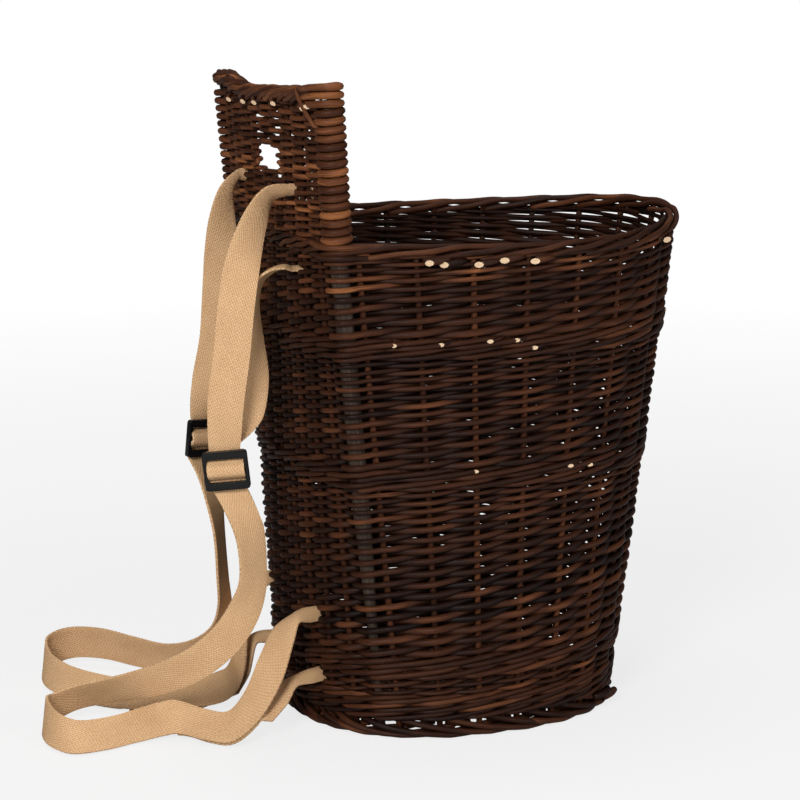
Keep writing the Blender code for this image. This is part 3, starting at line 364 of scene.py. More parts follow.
def paint(name, build):
    """Material whose nodes are made by a function of the node tree and its shader."""
    material = bpy.data.materials.new(name)
    material.use_nodes = True
    tree = material.node_tree
    build(tree, tree.nodes["Principled BSDF"])
    return material


def add_node(tree, kind, **settings):
    node = tree.nodes.new(kind)
    for key, value in settings.items():
        setattr(node, key, value)
    return node


def feed(tree, value, socket):
    """A socket takes what another node gives, or a plain value."""
    if isinstance(value, bpy.types.NodeSocket):
        tree.links.new(value, socket)
    else:
        socket.default_value = value


def colour_steps(tree, source, steps):
    """Colour ramp from pairs of a position and a colour."""
    ramp = add_node(tree, "ShaderNodeValToRGB")
    while len(ramp.color_ramp.elements) < len(steps):
        ramp.color_ramp.elements.new(0.5)
    for element, (position, colour) in zip(ramp.color_ramp.elements, steps):
        element.position = position
        element.color = (*colour, 1.0)
    tree.links.new(source, ramp.inputs["Fac"])
    return ramp.outputs["Color"]


def stained(tree, share, colour, stain):
    """Colour darkened by a stain, which takes effect by a share."""
    mix = add_node(tree, "ShaderNodeMix", data_type="RGBA", blend_type="MULTIPLY")
    for socket, value in ((mix.inputs[0], share), (mix.inputs[6], colour), (mix.inputs[7], stain)):
        feed(tree, value, socket)
    return mix.outputs[2]


def calculated(tree, operation, *values):
    node = add_node(tree, "ShaderNodeMath", operation=operation)
    for socket, value in zip(node.inputs, values):
        feed(tree, value, socket)
    return node.outputs[0]


def spread(tree, source, low, high, start=0.0, end=1.0):
    """Values from start to end come out from low to high."""
    node = add_node(tree, "ShaderNodeMapRange")
    for name, value in (("From Min", start), ("From Max", end), ("To Min", low), ("To Max", high)):
        node.inputs[name].default_value = value
    tree.links.new(source, node.inputs["Value"])
    return node.outputs["Result"]


def noise(tree, place, fineness, detail=3.0, roughness=0.5):
    """Soft noise with that many patches to the metre along each axis."""
    mapping = add_node(tree, "ShaderNodeMapping")
    mapping.inputs["Scale"].default_value = fineness
    tree.links.new(place, mapping.inputs["Vector"])
    node = add_node(tree, "ShaderNodeTexNoise")
    for name, value in (("Scale", 1.0), ("Detail", detail), ("Roughness", roughness)):
        node.inputs[name].default_value = value
    tree.links.new(mapping.outputs["Vector"], node.inputs["Vector"])
    return node.outputs["Fac"]


def coated(tree, shader, colour, roughness, sheen=0.5):
    for name, value in (("Base Color", colour), ("Roughness", roughness), ("Specular IOR Level", sheen)):
        feed(tree, value, shader.inputs[name])


def raised(tree, shader, height, distance):
    bump = add_node(tree, "ShaderNodeBump")
    bump.inputs["Distance"].default_value = distance
    tree.links.new(height, bump.inputs["Height"])
    tree.links.new(bump.outputs["Normal"], shader.inputs["Normal"])


JUTE_SHADES = ((0.30, (0.56, 0.32, 0.145)), (0.50, (0.79, 0.50, 0.27)), (0.72, (0.90, 0.64, 0.40)))
JUTE_SHADOWS = ((0.6, (0.55, 0.5, 0.46)), (1.0, (1, 1, 1)))
JUTE_BLOTCHES = ((0.35, (0.80, 0.74, 0.68)), (0.65, (1, 1, 1)))
RIB_PITCH, RIB_SLANT = 0.0044, 2.1
YARN_PITCH, YARN_SLANT = 0.0027, -0.6
RIB_WANDER = 0.004
WEAVE_RELIEF = 0.0004


def jute_weave(tree, shader):
    """Coarse twill of thick tan yarns, darker between them, with a few brown fibres."""
    flat = add_node(tree, "ShaderNodeUVMap", uv_map="webbing").outputs["UV"]
    parts = add_node(tree, "ShaderNodeSeparateXYZ")
    tree.links.new(flat, parts.inputs[0])
    side, run = parts.outputs["X"], parts.outputs["Y"]
    # Steep twill ribs, broken by the yarns that cross them and a little uneven
    uneven = calculated(tree, "MULTIPLY", noise(tree, flat, (260, 160, 1), 2.0), RIB_WANDER)
    slant = calculated(tree, "ADD", calculated(tree, "MULTIPLY_ADD", side, RIB_SLANT, run), uneven)
    ribs = calculated(tree, "SINE", calculated(tree, "MULTIPLY", slant, math.tau / RIB_PITCH))
    crossing = calculated(tree, "MULTIPLY_ADD", side, YARN_SLANT, run)
    yarns = calculated(tree, "SINE", calculated(tree, "MULTIPLY", crossing, math.tau / YARN_PITCH))
    weave = calculated(tree, "MULTIPLY_ADD", yarns, 0.6, ribs)
    fibres = noise(tree, flat, (1700, 600, 1), 4.0, 0.65)
    blotches = noise(tree, flat, (60, 30, 1), 2.0)
    shadows = colour_steps(tree, calculated(tree, "MULTIPLY_ADD", weave, 0.10, 0.88), JUTE_SHADOWS)
    toned = stained(tree, 1.0, colour_steps(tree, fibres, JUTE_SHADES), shadows)
    toned = stained(tree, 0.35, toned, colour_steps(tree, blotches, JUTE_BLOTCHES))
    coated(tree, shader, toned, 0.9, 0.1)
    raised(tree, shader, calculated(tree, "MULTIPLY_ADD", weave, 0.35, fibres), WEAVE_RELIEF)


jute = paint("jute_webbing", jute_weave)


def finished(name, mesh, *materials):
    """Object of a finished mesh, at the origin."""
    for material in materials:
        mesh.materials.append(material)
    piece = bpy.data.objects.new(name, mesh)
    bpy.context.scene.collection.objects.link(piece)
    return piece


def evaluated_mesh(piece):
    """Mesh in the form that the piece's curve or modifiers give it."""
    shaped = piece.evaluated_get(bpy.context.evaluated_depsgraph_get())
    return bpy.data.meshes.new_from_object(shaped)


def made_mesh(name, bm):
    """Mesh of what was shaped, which is then let go."""
    mesh = bpy.data.meshes.new(name)
    bm.to_mesh(mesh)
    bm.free()
    return mesh


def webbing(name, rows, seam=None):
    """Flat woven strip along its rows, cupped where it is gathered into a slot.
    A seam is a row where the end of a second layer stands up as a ridge."""
    rows = set_across(rows)
    runs = [0.0]
    for (start, _, _), (end, _, _) in zip(rows, rows[1:]):
        runs.append(runs[-1] + (end - start).length)
    last = len(rows) - 1
    bm = bmesh.new()
    uv = bm.loops.layers.uv.new("webbing")
    bmesh.ops.create_grid(bm, x_segments=WEBBING_STRANDS, y_segments=last, size=1.0)
    sheet_place = {}
    for vertex in bm.verts:
        side = vertex.co.x
        index = round((vertex.co.y + 1) / 2 * last)
        centre, across, kept = rows[index]
        along = (rows[min(index + 1, last)][0] - rows[max(index - 1, 0)][0]).normalized()
        facing = along.cross(across).normalized()
        cup = min(DEEPEST_CUP, WEBBING_WIDTH * (1 - kept) * CUP_SHARE) * (side ** 2 - CUP_LEVEL_SHARE)
        sheet_place[vertex.index] = (side * WEBBING_WIDTH / 2, runs[index])
        vertex.co = centre + across * (side * WEBBING_WIDTH / 2 * kept) + facing * cup
        if seam is not None and index in (seam, seam + 1):
            vertex.co -= facing * SEAM_RIDGE
    for face in bm.faces:
        face.smooth = True
        for corner in face.loops:
            corner[uv].uv = sheet_place[corner.vert.index]
    piece = finished(name, made_mesh(name, bm), jute)
    thickness = piece.modifiers.new("thickness", "SOLIDIFY")
    thickness.thickness = WEBBING_THICKNESS
    thickness.offset = 0
    rounded = piece.modifiers.new("edges", "BEVEL")
    rounded.width = WEBBING_THICKNESS * EDGE_ROUND_SHARE
    rounded.segments = 2
    rounded.limit_method = "ANGLE"
    bpy.context.view_layer.update()
    mesh = evaluated_mesh(piece)
    piece.modifiers.clear()
    piece.data = mesh
    return piece, runs[-1]


def strap_piece(side, part, rows, carried=None, seam=None):
    """Piece of a strap. A carried piece is left unattached where it lies; any other piece is attached to the
    basket.
    """
    piece, length = webbing(f"{side}_{part}_webbing", rows, seam)
    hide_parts(f"{side}_strap_{part}")
    if carried:
        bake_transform(piece)
    else:
        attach(piece, "basket")


def make_strap(side, station, slide, outer_route, inner_route, lower_route, return_route, doubled):
    """One shoulder strap in the four pieces that the slide and the wall divide it into."""
    lower_offset = HALF_WALL + WEBBING_THICKNESS / 2 + INSIDE_RUN_GAP
    upper_offset = lower_offset + BORDER_OVERHANG
    meeting = RIM_LEVEL + WEBBING_THICKNESS
    turn = WEBBING_WIDTH * GATHERED_SHARE / 2
    outer = [on_slide(slide, HUMP_REACH + WEBBING_END_GAP, -SLIDE_CLEAR, OUTER_END_SHARE)]
    outer += [route_row(row) for row in outer_route]
    outer += slot_rows(station, UPPER_SLOT, outside_first=True, across=(0, 0.62, -0.78))
    outer += inside_rows(station, (UPPER_SLOT - turn, meeting), upper_offset)
    strap_piece(side, "upper", smooth_rows(set_across(outer)), carried=(0.45, 0.262))

    inner = inside_rows(station, (meeting - JOIN_GAP, RIM_SLOT + turn), upper_offset)
    inner += slot_rows(station, RIM_SLOT, outside_first=False, across=(0, 1, 0))
    inner += [route_row(row) for row in inner_route]
    inner.append(on_slide(slide, INNER_END_UP, INNER_END_FRONT, INNER_END_SHARE))
    strap_piece(side, "inner", smooth_rows(set_across(inner)), carried=(0.40, 0.262))

    middle = (LOWER_SLOT + FOOT_SLOT) / 2
    lower = [on_slide(slide, -HUMP_REACH - WEBBING_END_GAP, -SLIDE_CLEAR, LOWER_END_SHARE)]
    lower += [route_row(row) for row in lower_route]
    lower += slot_rows(station, LOWER_SLOT, outside_first=True, across=(0, 0.6, 0.8))
    lower += inside_rows(station, (LOWER_SLOT - turn, middle + JOIN_GAP), lower_offset)
    lower = smooth_rows(set_across(lower))
    first, last = [ROUTE_STEPS * (row + 1) for row in doubled]
    strap_piece(side, "lower", lower, carried=(0.12, 0.226), seam=first - 1)

    back = inside_rows(station, (middle, FOOT_SLOT + turn), lower_offset)
    back += slot_rows(station, FOOT_SLOT, outside_first=False, across=(0, 0.7, 0.7))
    back += [route_row(row) for row in return_route]
    strap_piece(side, "return", set_across(smooth_rows(set_across(back)) + rows_behind(lower, first, last)))


make_strap(
    "near", NEAR_STATION, NEAR_SLIDE, NEAR_OUTER_ROUTE, NEAR_INNER_ROUTE, NEAR_LOWER_ROUTE,
    NEAR_RETURN_ROUTE, NEAR_DOUBLED_ROWS,
)
make_strap(
    "far", FAR_STATION, FAR_SLIDE, FAR_OUTER_ROUTE, FAR_INNER_ROUTE, FAR_LOWER_ROUTE,
    FAR_RETURN_ROUTE, FAR_DOUBLED_ROWS,
)


# Slides of glossy black plastic, moulded in one piece with a bar between two
# slots. The webbing goes behind the end bars and over the middle one.
END_BAR_CENTRE = 0.0125
END_BAR_FROM = END_BAR_CENTRE - 0.001
BAR_EDGE = 0.0028
BROAD_BAR = 0.0025
THICKER_SHARE = 0.5
SIDE_BAR_FROM, SIDE_BAR_TO = 0.014, 0.0172
BROAD_SIDE_BAR = 0.0007
SLIDE_ROUNDING = 0.0009
FLAT_ANGLE, SHARP_ANGLE = math.radians(2), math.radians(35)
SPREAD_SHARE = 1.04


def moulded_black(tree, shader):
    place = add_node(tree, "ShaderNodeTexCoord").outputs["Object"]
    grain = noise(tree, place, (700, 700, 700), 2.0)
    wear = noise(tree, place, (180, 180, 180))
    black = colour_steps(tree, grain, ((0.3, (0.003, 0.003, 0.003)), (0.7, (0.007, 0.006, 0.006))))
    coated(tree, shader, black, spread(tree, wear, 0.20, 0.36), 0.25)
    raised(tree, shader, wear, 0.0001)


black_plastic = paint("black_plastic", moulded_black)


def make_slide(side, slide):
    """The frame with broad end bars and rounded edges, and the webbing over its middle bar."""
    bm = bmesh.new()
    bm.from_mesh(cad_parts[f"{side}_slide_frame"].data)
    bmesh.ops.remove_doubles(bm, verts=bm.verts, dist=1e-6)
    centre, across, upward, forward = slide
    for vertex in bm.verts:
        place = vertex.co - centre
        up, aside, front = place.dot(upward), place.dot(across), place.dot(forward)
        thicker = forward * max(front, 0) * THICKER_SHARE
        if abs(up) > END_BAR_FROM:
            vertex.co += upward * math.copysign(BROAD_BAR, up) + thicker
        elif abs(up) > END_BAR_CENTRE / 2:
            vertex.co += thicker
        if SIDE_BAR_FROM < abs(aside) < SIDE_BAR_TO:
            vertex.co -= across * math.copysign(BROAD_SIDE_BAR, aside)
    bmesh.ops.dissolve_limit(bm, angle_limit=FLAT_ANGLE, verts=bm.verts, edges=bm.edges)
    sharp = [edge for edge in bm.edges if edge.calc_face_angle(0) > SHARP_ANGLE]
    bmesh.ops.bevel(
        bm, geom=sharp, affect="EDGES", offset=SLIDE_ROUNDING, segments=3, profile=0.5, material=-1,
        clamp_overlap=True,
    )
    for face in bm.faces:
        face.smooth = True
    buckle = finished(f"{side}_buckle", made_mesh(f"{side}_buckle", bm), black_plastic)
    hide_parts(f"{side}_slide_frame")
    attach(buckle, f"{side}_slide")
    profile = (
        (-HUMP_REACH, -SLIDE_CLEAR),
        (BAR_EDGE - END_BAR_CENTRE, -SLIDE_CLEAR),
        (-END_BAR_CENTRE / 2, 0),
        (-BAR_EDGE, SLIDE_CLEAR),
        (BAR_EDGE, SLIDE_CLEAR),
        (END_BAR_CENTRE / 2, 0),
        (END_BAR_CENTRE - BAR_EDGE, -SLIDE_CLEAR),
        (HUMP_REACH, -SLIDE_CLEAR),
    )
    rows = smooth_rows([on_slide(slide, up, front, SPREAD_SHARE) for up, front in profile])
    piece, _ = webbing(f"{side}_webbing_over_bar", rows)
    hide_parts(f"{side}_slide_webbing")
    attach(piece, f"{side}_slide")


make_slide("near", NEAR_SLIDE)
make_slide("far", FAR_SLIDE)


# Willow rods, steamed dark brown with the bark on. Each is a tapered round
# shoot whose bark has fine streaks along it, and no two have quite one shade.
BARK_SHADES = (
    (0.00, (0.005, 0.0015, 0.0008)),
    (0.35, (0.019, 0.0058, 0.0025)),
    (0.65, (0.050, 0.0155, 0.0062)),
    (0.88, (0.125, 0.042, 0.016)),
    (1.00, (0.270, 0.098, 0.034)),
)
POST_SHADES = ((0.3, (0.014, 0.008, 0.006)), (0.5, (0.042, 0.027, 0.019)), (0.7, (0.095, 0.065, 0.048)))
CUT_SHADES = ((0.3, (0.55, 0.34, 0.18)), (0.7, (0.86, 0.66, 0.45)))


def off_middle(tree, source, share):
    """How far a noise is from its middle value, times a share."""
    return calculated(tree, "MULTIPLY", calculated(tree, "SUBTRACT", source, 0.5), share)


def willow_bark(tree, shader):
    space = add_node(tree, "ShaderNodeAttribute", attribute_name="rod_space").outputs["Vector"]
    shade = add_node(tree, "ShaderNodeAttribute", attribute_name="rod_shade").outputs["Fac"]
    streaks = noise(tree, space, (900, 900, 45), 4.0, 0.6)
    patches = noise(tree, space, (90, 90, 22))
    wrinkles = noise(tree, space, (1400, 1400, 160))
    tone = calculated(tree, "ADD", shade, off_middle(tree, streaks, 0.5))
    tone = calculated(tree, "ADD", tone, off_middle(tree, patches, 0.7))
    coated(tree, shader, colour_steps(tree, tone, BARK_SHADES), spread(tree, patches, 0.40, 0.64), 0.13)
    raised(tree, shader, calculated(tree, "ADD", streaks, wrinkles), 0.00022)


def fresh_cut(tree, shader):
    place = add_node(tree, "ShaderNodeTexCoord").outputs["Object"]
    grain = noise(tree, place, (1500, 1500, 1500))
    coated(tree, shader, colour_steps(tree, grain, CUT_SHADES), 0.75)
    raised(tree, shader, grain, 0.0002)


def post_bark(tree, shader):
    space = add_node(tree, "ShaderNodeAttribute", attribute_name="rod_space").outputs["Vector"]
    streaks = noise(tree, space, (500, 500, 20), 5.0, 0.65)
    patches = calculated(tree, "MULTIPLY", noise(tree, space, (120, 120, 40)), 0.4)
    tone = calculated(tree, "MULTIPLY_ADD", streaks, 0.6, patches)
    coated(tree, shader, colour_steps(tree, tone, POST_SHADES), 0.62, 0.2)
    raised(tree, shader, tone, 0.0006)


bark = paint("dark_willow", willow_bark)
cut_wood = paint("cut_willow", fresh_cut)
grey_bark = paint("post_willow", post_bark)
ROD_SIDES = 8
CUT_SLANT = 1.3
MIDDLE_SHADE, SHADE_SPREAD = 0.48, 0.16
DARKEST, LIGHTEST, PALEST = 0.05, 0.97, 0.98


def shoot(points, radius, shade, start_cut=None, end_cut=None):
    """One rod, with one radius and shade or one for each point. A cut is the way
    that a slanted end faces."""
    radii = radius if isinstance(radius, list) else [radius] * len(points)
    shades = shade if isinstance(shade, list) else [shade] * len(points)
    return points, radii, shades, (start_cut, end_cut)


def rods(name, shoots, node, finish=bark):
    """Piece of many rods, made as one curve whose ends are cut and closed."""
    curve = bpy.data.curves.new(name, "CURVE")
    curve.dimensions = "3D"
    curve.bevel_depth = 1.0
    curve.bevel_resolution = 2
    space, shades = [], []
    for points, radii, rod_shades, _ in shoots:
        spline = curve.splines.new("POLY")
        spline.points.add(len(points) - 1)
        spline.points.foreach_set("co", [value for point in points for value in (*point, 1.0)])
        spline.points.foreach_set("radius", radii)
        run = dice.uniform(0, 5)
        for index, (point, radius, shade) in enumerate(zip(points, radii, rod_shades)):
            run += (point - points[max(index - 1, 0)]).length
            for side in range(ROD_SIDES):
                angle = math.tau * side / ROD_SIDES
                space += (math.cos(angle) * radius, math.sin(angle) * radius, run)
            shades += [shade] * ROD_SIDES
    guide = finished(name, curve)
    mesh = evaluated_mesh(guide)
    bpy.data.objects.remove(guide)
    mesh.materials.clear()
    mesh.attributes.new("rod_space", "FLOAT_VECTOR", "POINT").data.foreach_set("vector", space)
    mesh.attributes.new("rod_shade", "FLOAT", "POINT").data.foreach_set("value", shades)
    bm = bmesh.new()
    bm.from_mesh(mesh)
    bm.verts.ensure_lookup_table()
    cut_rings = set()
    first = 0
    for points, _, _, (start_cut, end_cut) in shoots:
        last = first + (len(points) - 1) * ROD_SIDES
        for ring, centre, neighbour, facing in (
            (first, points[0], points[1], start_cut),
            (last, points[-1], points[-2], end_cut),
        ):
            if facing is None:
                continue
            outward = (centre - neighbour).normalized()
            level = (facing - outward * facing.dot(outward)).normalized()
            for vertex in bm.verts[ring:ring + ROD_SIDES]:
                vertex.co -= outward * ((vertex.co - centre).dot(level) * CUT_SLANT)
            cut_rings.add(ring)
        first = last + ROD_SIDES
    for face in bm.faces:
        face.smooth = True
    caps = bmesh.ops.holes_fill(bm, edges=[edge for edge in bm.edges if edge.is_boundary], sides=ROD_SIDES)
    for face in caps["faces"]:
        face.smooth = False
        face.material_index = 1 if min(vertex.index for vertex in face.verts) in cut_rings else 0
    bmesh.ops.recalc_face_normals(bm, faces=bm.faces)
    bm.to_mesh(mesh)
    bm.free()
    piece = finished(name, mesh, finish, cut_wood)
    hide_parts(node)
    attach(piece, "basket")


def usual_shade():
    return min(LIGHTEST, max(DARKEST, dice.gauss(MIDDLE_SHADE, SHADE_SPREAD)))


# Floor of the basket. Seven stout sticks cross under the middle, and thinner
# rods are woven over and under the ribs that open out from them.
FLOOR_LEVEL = 0.015
FLOOR_RIBS = 27
FLOOR_UNDERSIDE = 0.009
FLOOR_CROWN = 0.005
RIB_RISE = 0.0055
RIB_RADIUS = 0.0034
RIB_FROM_SHARE, RIB_TO_SHARE = 0.08, 0.93
RIB_POINTS = 14
FLOOR_ROD = 0.0026
FLOOR_SWING = 0.0026
FLOOR_ROUNDS = 30
FLOOR_FROM_SHARE, FLOOR_TO_SHARE = 0.17, 0.94
STEPS_PER_ROUND = 4 * FLOOR_RIBS
POINTS_PER_ROD = 700
STICK_RADIUS = 0.00275
STICK_SPACING = 0.034
STICK_REACH_SHARE = 0.93
STICKS_ALONG, STICKS_ACROSS = 3, 4
STICK_POINTS = 12
LONG_STICK_LEVEL = FLOOR_UNDERSIDE - 0.001
CROSS_STICK_LEVEL = FLOOR_UNDERSIDE - 0.0045
floor_centre = sum((wall_middle(station, FLOOR_LEVEL) for station in range(STATIONS)), Vector()) / STATIONS


def floor_point(turn, share, height):
    edge = wall_middle(turn * STATIONS, FLOOR_LEVEL)
    place = floor_centre.lerp(edge, share)
    place.z = FLOOR_UNDERSIDE + RIB_RISE + FLOOR_CROWN * (1 - share ** 2) + height
    return place


floor_rods = []
for rib in range(FLOOR_RIBS):
    shares = np.linspace(RIB_FROM_SHARE, RIB_TO_SHARE, RIB_POINTS)
    points = [floor_point(rib / FLOOR_RIBS, share, 0) for share in shares]
    floor_rods.append(shoot(points, RIB_RADIUS, usual_shade()))
points = []
for step in range(FLOOR_ROUNDS * STEPS_PER_ROUND):
    turn = step / STEPS_PER_ROUND
    share = FLOOR_FROM_SHARE + (FLOOR_TO_SHARE - FLOOR_FROM_SHARE) * turn / FLOOR_ROUNDS
    over = FLOOR_SWING * math.cos(math.pi * turn * FLOOR_RIBS)
    points.append(floor_point(turn % 1.0, share, over))
    if len(points) > POINTS_PER_ROD:
        floor_rods.append(shoot(points, FLOOR_ROD, usual_shade()))
        points = points[-2:]
floor_rods.append(shoot(points, FLOOR_ROD, usual_shade()))
rods("floor_weave", floor_rods, "base_weave")

stick_low, stick_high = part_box("base_sticks")
stick_middle = (stick_low + stick_high) / 2
stick_reach = (stick_high - stick_low) / 2 * STICK_REACH_SHARE
downward = Vector((0, 0, -1))
sticks = []
for number in range(STICKS_ALONG + STICKS_ACROSS):
    points = []
    for side in np.linspace(-1, 1, STICK_POINTS):
        if number < STICKS_ALONG:
            aside = (number - (STICKS_ALONG - 1) / 2) * STICK_SPACING
            points.append(Vector((stick_middle.x + stick_reach.x * side, aside, LONG_STICK_LEVEL)))
        else:
            aside = (number - STICKS_ALONG - (STICKS_ACROSS - 1) / 2) * STICK_SPACING
            end = stick_middle.y + stick_reach.y * side
            points.append(Vector((stick_middle.x + aside, end, CROSS_STICK_LEVEL)))
    sticks.append(shoot(points, STICK_RADIUS, usual_shade(), downward, downward))
rods("floor_sticks", sticks, "base_sticks")


# Stakes of stout willow, and at each back corner a post of thick stick with
# its grey bark. They stand in the foot and every rod of the wall goes round them.
LINE_STEP = 0.011
STAKE_RADIUS = 0.0028
POST_HEIGHTS = (0.075, 0.20, 0.42, 0.47)
POST_RADII = (0.0036, 0.0077, 0.0077, 0.0066)
UNEVEN_LOW, UNEVEN_HIGH = 0.975, 1.025
STICK_SHADE, STICK_SHADE_SHARE = 0.35, 0.5


def bent_line(station):
    foot, bend, tip = stake_lines[station]
    if 0 < station < FAR_POST:
        count = math.ceil((tip.z - foot.z) / LINE_STEP)
        return [foot.lerp(tip, index / count) for index in range(count + 1)]
    lower = math.ceil((bend.z - foot.z) / LINE_STEP)
    upper = math.ceil((tip.z - bend.z) / LINE_STEP)
    line = [foot.lerp(bend, index / lower) for index in range(lower)]
    return line + [bend.lerp(tip, index / upper) for index in range(upper + 1)]


def post_radius(height):
    """A post tapers to a slender foot, and is a little thinner in the raised back."""
    return float(np.interp(height, POST_HEIGHTS, POST_RADII))


for station, node in enumerate(stake_nodes):
    thick = station in POST_STATIONS
    line = bent_line(station)
    radii = []
    for point in line:
        radius = post_radius(point.z) if thick else STAKE_RADIUS
        radii.append(radius * dice.uniform(UNEVEN_LOW, UNEVEN_HIGH))
    stick = shoot(line, radii, STICK_SHADE + STICK_SHADE_SHARE * usual_shade())
    if thick:
        rods(f"{node}_stick", [stick], node, grey_bark)
    else:
        rods(f"{node}_stick", [stick], node)


# Weaving places: a corner post and the stake close beside it are woven round
# as one, which leaves twenty-eight places round the basket.
PLACES = 28
PLACE_MARKS = (
    (0, -0.2), (1, 0.2), (2, 1), (18, 17), (19, 17.8), (20, 18.2), (21, 19), (29, 27), (30, 27.8),
)
STATION_MARKS = (
    (0, 0.5), (0.2, 1), (1, 2), (17, 18), (17.8, 19), (18.2, 20), (19, 21), (27, 29), (27.8, 30), (28, 30.5),
)
WOVEN_STAKE = 0.003
POST_CLEAR = 0.0003
# Wet rods press a little into the stakes and each other
PRESSED = 0.62
SWELL_FROM = 0.0027
SWELL_POWER = 1.5


def between_marks(value, lap, new_lap, marks):
    """Value read off between its two nearest marks, on whichever lap of the basket."""
    laps, within = divmod(value, lap)
    for (start, low), (end, high) in zip(marks, marks[1:]):
        if within <= end:
            return laps * new_lap + low + (high - low) * (within - start) / (end - start)


def place_of(station):
    """Weaving place of a stake, or of a point between two."""
    return between_marks(station, STATIONS, PLACES, PLACE_MARKS)


def station_of(place):
    return between_marks(place, PLACES, STATIONS, STATION_MARKS)


def stake_radius(station, height):
    return post_radius(height) + POST_CLEAR if station % STATIONS in POST_STATIONS else WOVEN_STAKE


def post_swell(station, height):
    """How much further out a rod has to go beside a corner post."""
    nearest = min(abs(station % STATIONS - post) for post in (*POST_STATIONS, STATIONS))
    nearness = max(0.0, math.cos(min(nearest, 1.0) * math.pi / 2))
    return (post_radius(height) - SWELL_FROM) * nearness ** SWELL_POWER


def eased(start, end, share):
    """Value on a gentle wave from a start to an end."""
    return start + (end - start) * (1 - math.cos(math.pi * share)) / 2


# Thickness of the rods in a band, at shares of its height from the bottom up
EVEN = ((0, 1), (3.6, 3.6))
LOWER_TAPER = ((0, 0.5, 1), (5.9, 5.9, 3.2))
MIDDLE_TAPER = ((0, 1), (4.9, 2.8))
UPPER_TAPER = ((0, 1), (5.3, 2.3))
STARTS_BEFORE, ENDS_BEFORE = 0.42, 0.6
STEP_ALONG = 0.125
THINNEST, THICKEST = 1.14, 1.34
ROD_WANDER = 0.0004
RISE_PACE, OUT_PACE = 1.3, 0.9
FULL_OFFSET = 0.005
THINNER_IN_FRONT = 0.15
# Painted light on rods in front of the wall, and painted shade on rods deep in it
FRONT_PAINTED_LIGHT, DEEP_PAINTED_SHADE = 0.06, 0.19


def randing(name, node, low, high, passes, taper, lifted=(0.0, 0.0)):
    """Band in French randing: one rod starts at each place, and all rise together to the right.
    The shares of the rim's lift that the band follows are those at its bottom and top."""
    shares = [float(np.interp(index / passes, *taper)) for index in range(passes)]
    fit = (high - low) / sum(shares)
    heights = [0.0]
    for share in shares:
        heights.append(heights[-1] + share * fit)
    shoots = []
    for start in range(PLACES):
        size = dice.uniform(THINNEST, THICKEST)
        shade = usual_shade()
        wander = dice.uniform(0, math.tau)
        station = station_of(start - STARTS_BEFORE)
        end = station_of(start + passes - ENDS_BEFORE)
        points, radii, shades = [], [], []
        while station < end:
            count = min(max(place_of(station) - start, 0.0), passes - 0.001)
            index = int(count)
            radius = shares[index] * fit / 2
            height = low + heights[index] + (heights[index + 1] - heights[index]) * (count - index) + radius
            height += ROD_WANDER * math.sin(station * RISE_PACE + wander)
            share = (height - low) / (high - low)
            height += lift(station) * (lifted[0] + (lifted[1] - lifted[0]) * share)
            lower = math.floor(station)
            ends = []
            for stake in (lower, lower + 1):
                side = 1 if (round(place_of(stake)) - start) % 2 else -1
                ends.append(side * (stake_radius(stake, height) + radius * PRESSED))
            offset = eased(*ends, station - lower)
            in_front = max(-1.0, min(1.0, offset / FULL_OFFSET))
            offset += ROD_WANDER * math.sin(station * OUT_PACE + 2 * wander)
            points.append(wall(station, height, offset))
            radii.append(radius * (size - THINNER_IN_FRONT * in_front))
            # Painted shade darkens the rods where they lie deep in the wall, and painted light brightens
            # them where they pass in front
            shades.append(shade + FRONT_PAINTED_LIGHT - DEEP_PAINTED_SHADE * (1 - in_front))
            station += STEP_ALONG
        shoots.append(shoot(points, radii, shades))
    rods(name, shoots, node)


# Waling: three rods at a time, each passing in front of two stakes and behind
# one, and climbing as it goes. It starts the wall and marks off each band.
WALE_STROKE = (
    (0.0, -1.0, 0.0),
    (0.5, 0.1, -2.0),
    (0.85, 0.95, -1.4),
    (1.5, 1.1, 0.0),
    (2.15, 0.95, 1.4),
    (2.5, 0.1, 2.0),
    (3.0, -1.0, 0.0),
)
WALE_RODS = 3
WALE_SAMPLES = 8
PLACES_PER_ROD = 9
# Every round starts and steps up in the middle of the back
WALE_START = 23
STEP_UP = 1.5
WALE_INSET = 0.6
WALE_PRESSED = 0.9


def wale(low, high, rows, radius):
    shoots = []
    row_height = (high - low) / rows
    for rod in range(WALE_RODS):
        points = []
        shade = usual_shade()
        for step in range(rows * PLACES * WALE_SAMPLES + 1):
            count = step / WALE_SAMPLES
            stroke = count % WALE_RODS
            for (start, near_out, near_up), (end, far_out, far_up) in zip(WALE_STROKE, WALE_STROKE[1:]):
                if stroke <= end:
                    break
            share = (stroke - start) / (end - start)
            out = eased(near_out, far_out, share)
            up = near_up + (far_up - near_up) * share
            station = station_of(WALE_START + rod + count)
            lap, within = divmod(count, PLACES)
            stepped = max(0.0, 1 - (PLACES - within) / STEP_UP) if lap < rows - 1 else 0.0
            height = low + row_height * (min(lap, rows - 1) + stepped + 0.5)
            height = min(max(height + up * radius, low + radius * WALE_INSET), high - radius * WALE_INSET)
            nearest = WOVEN_STAKE + post_swell(station, height)
            points.append(wall(station, height, out * (nearest + radius * WALE_PRESSED)))
            # A new rod is laid in where the old one ends, behind a stake
            if step and step % (PLACES_PER_ROD * WALE_SAMPLES) == 0:
                shoots.append(shoot(points, radius, shade))
                shade = usual_shade()
                points = points[-2:]
        if len(points) > 2:
            shoots.append(shoot(points, radius, shade))
    return shoots


SNIP_STEPS = 4
SNIP_DEPTH = 0.006


def snipped(station, height, offset, radius, run, climb, pale=True):
    """Short end of a rod that comes out of the wall and is cut off on a slant."""
    points = []
    for step in range(SNIP_STEPS + 1):
        left = 1 - step / SNIP_STEPS
        points.append(wall(station + run * left, height + climb * left, offset - SNIP_DEPTH * left ** 2))
    return shoot(points, radius, usual_shade(), None, wall_outward(station, height) if pale else None)


def snipped_ends(ends, **shape):
    """Snipped ends from pairs of a weaving place and a height."""
    return [snipped(station_of(place), height, **shape) for place, height in ends]


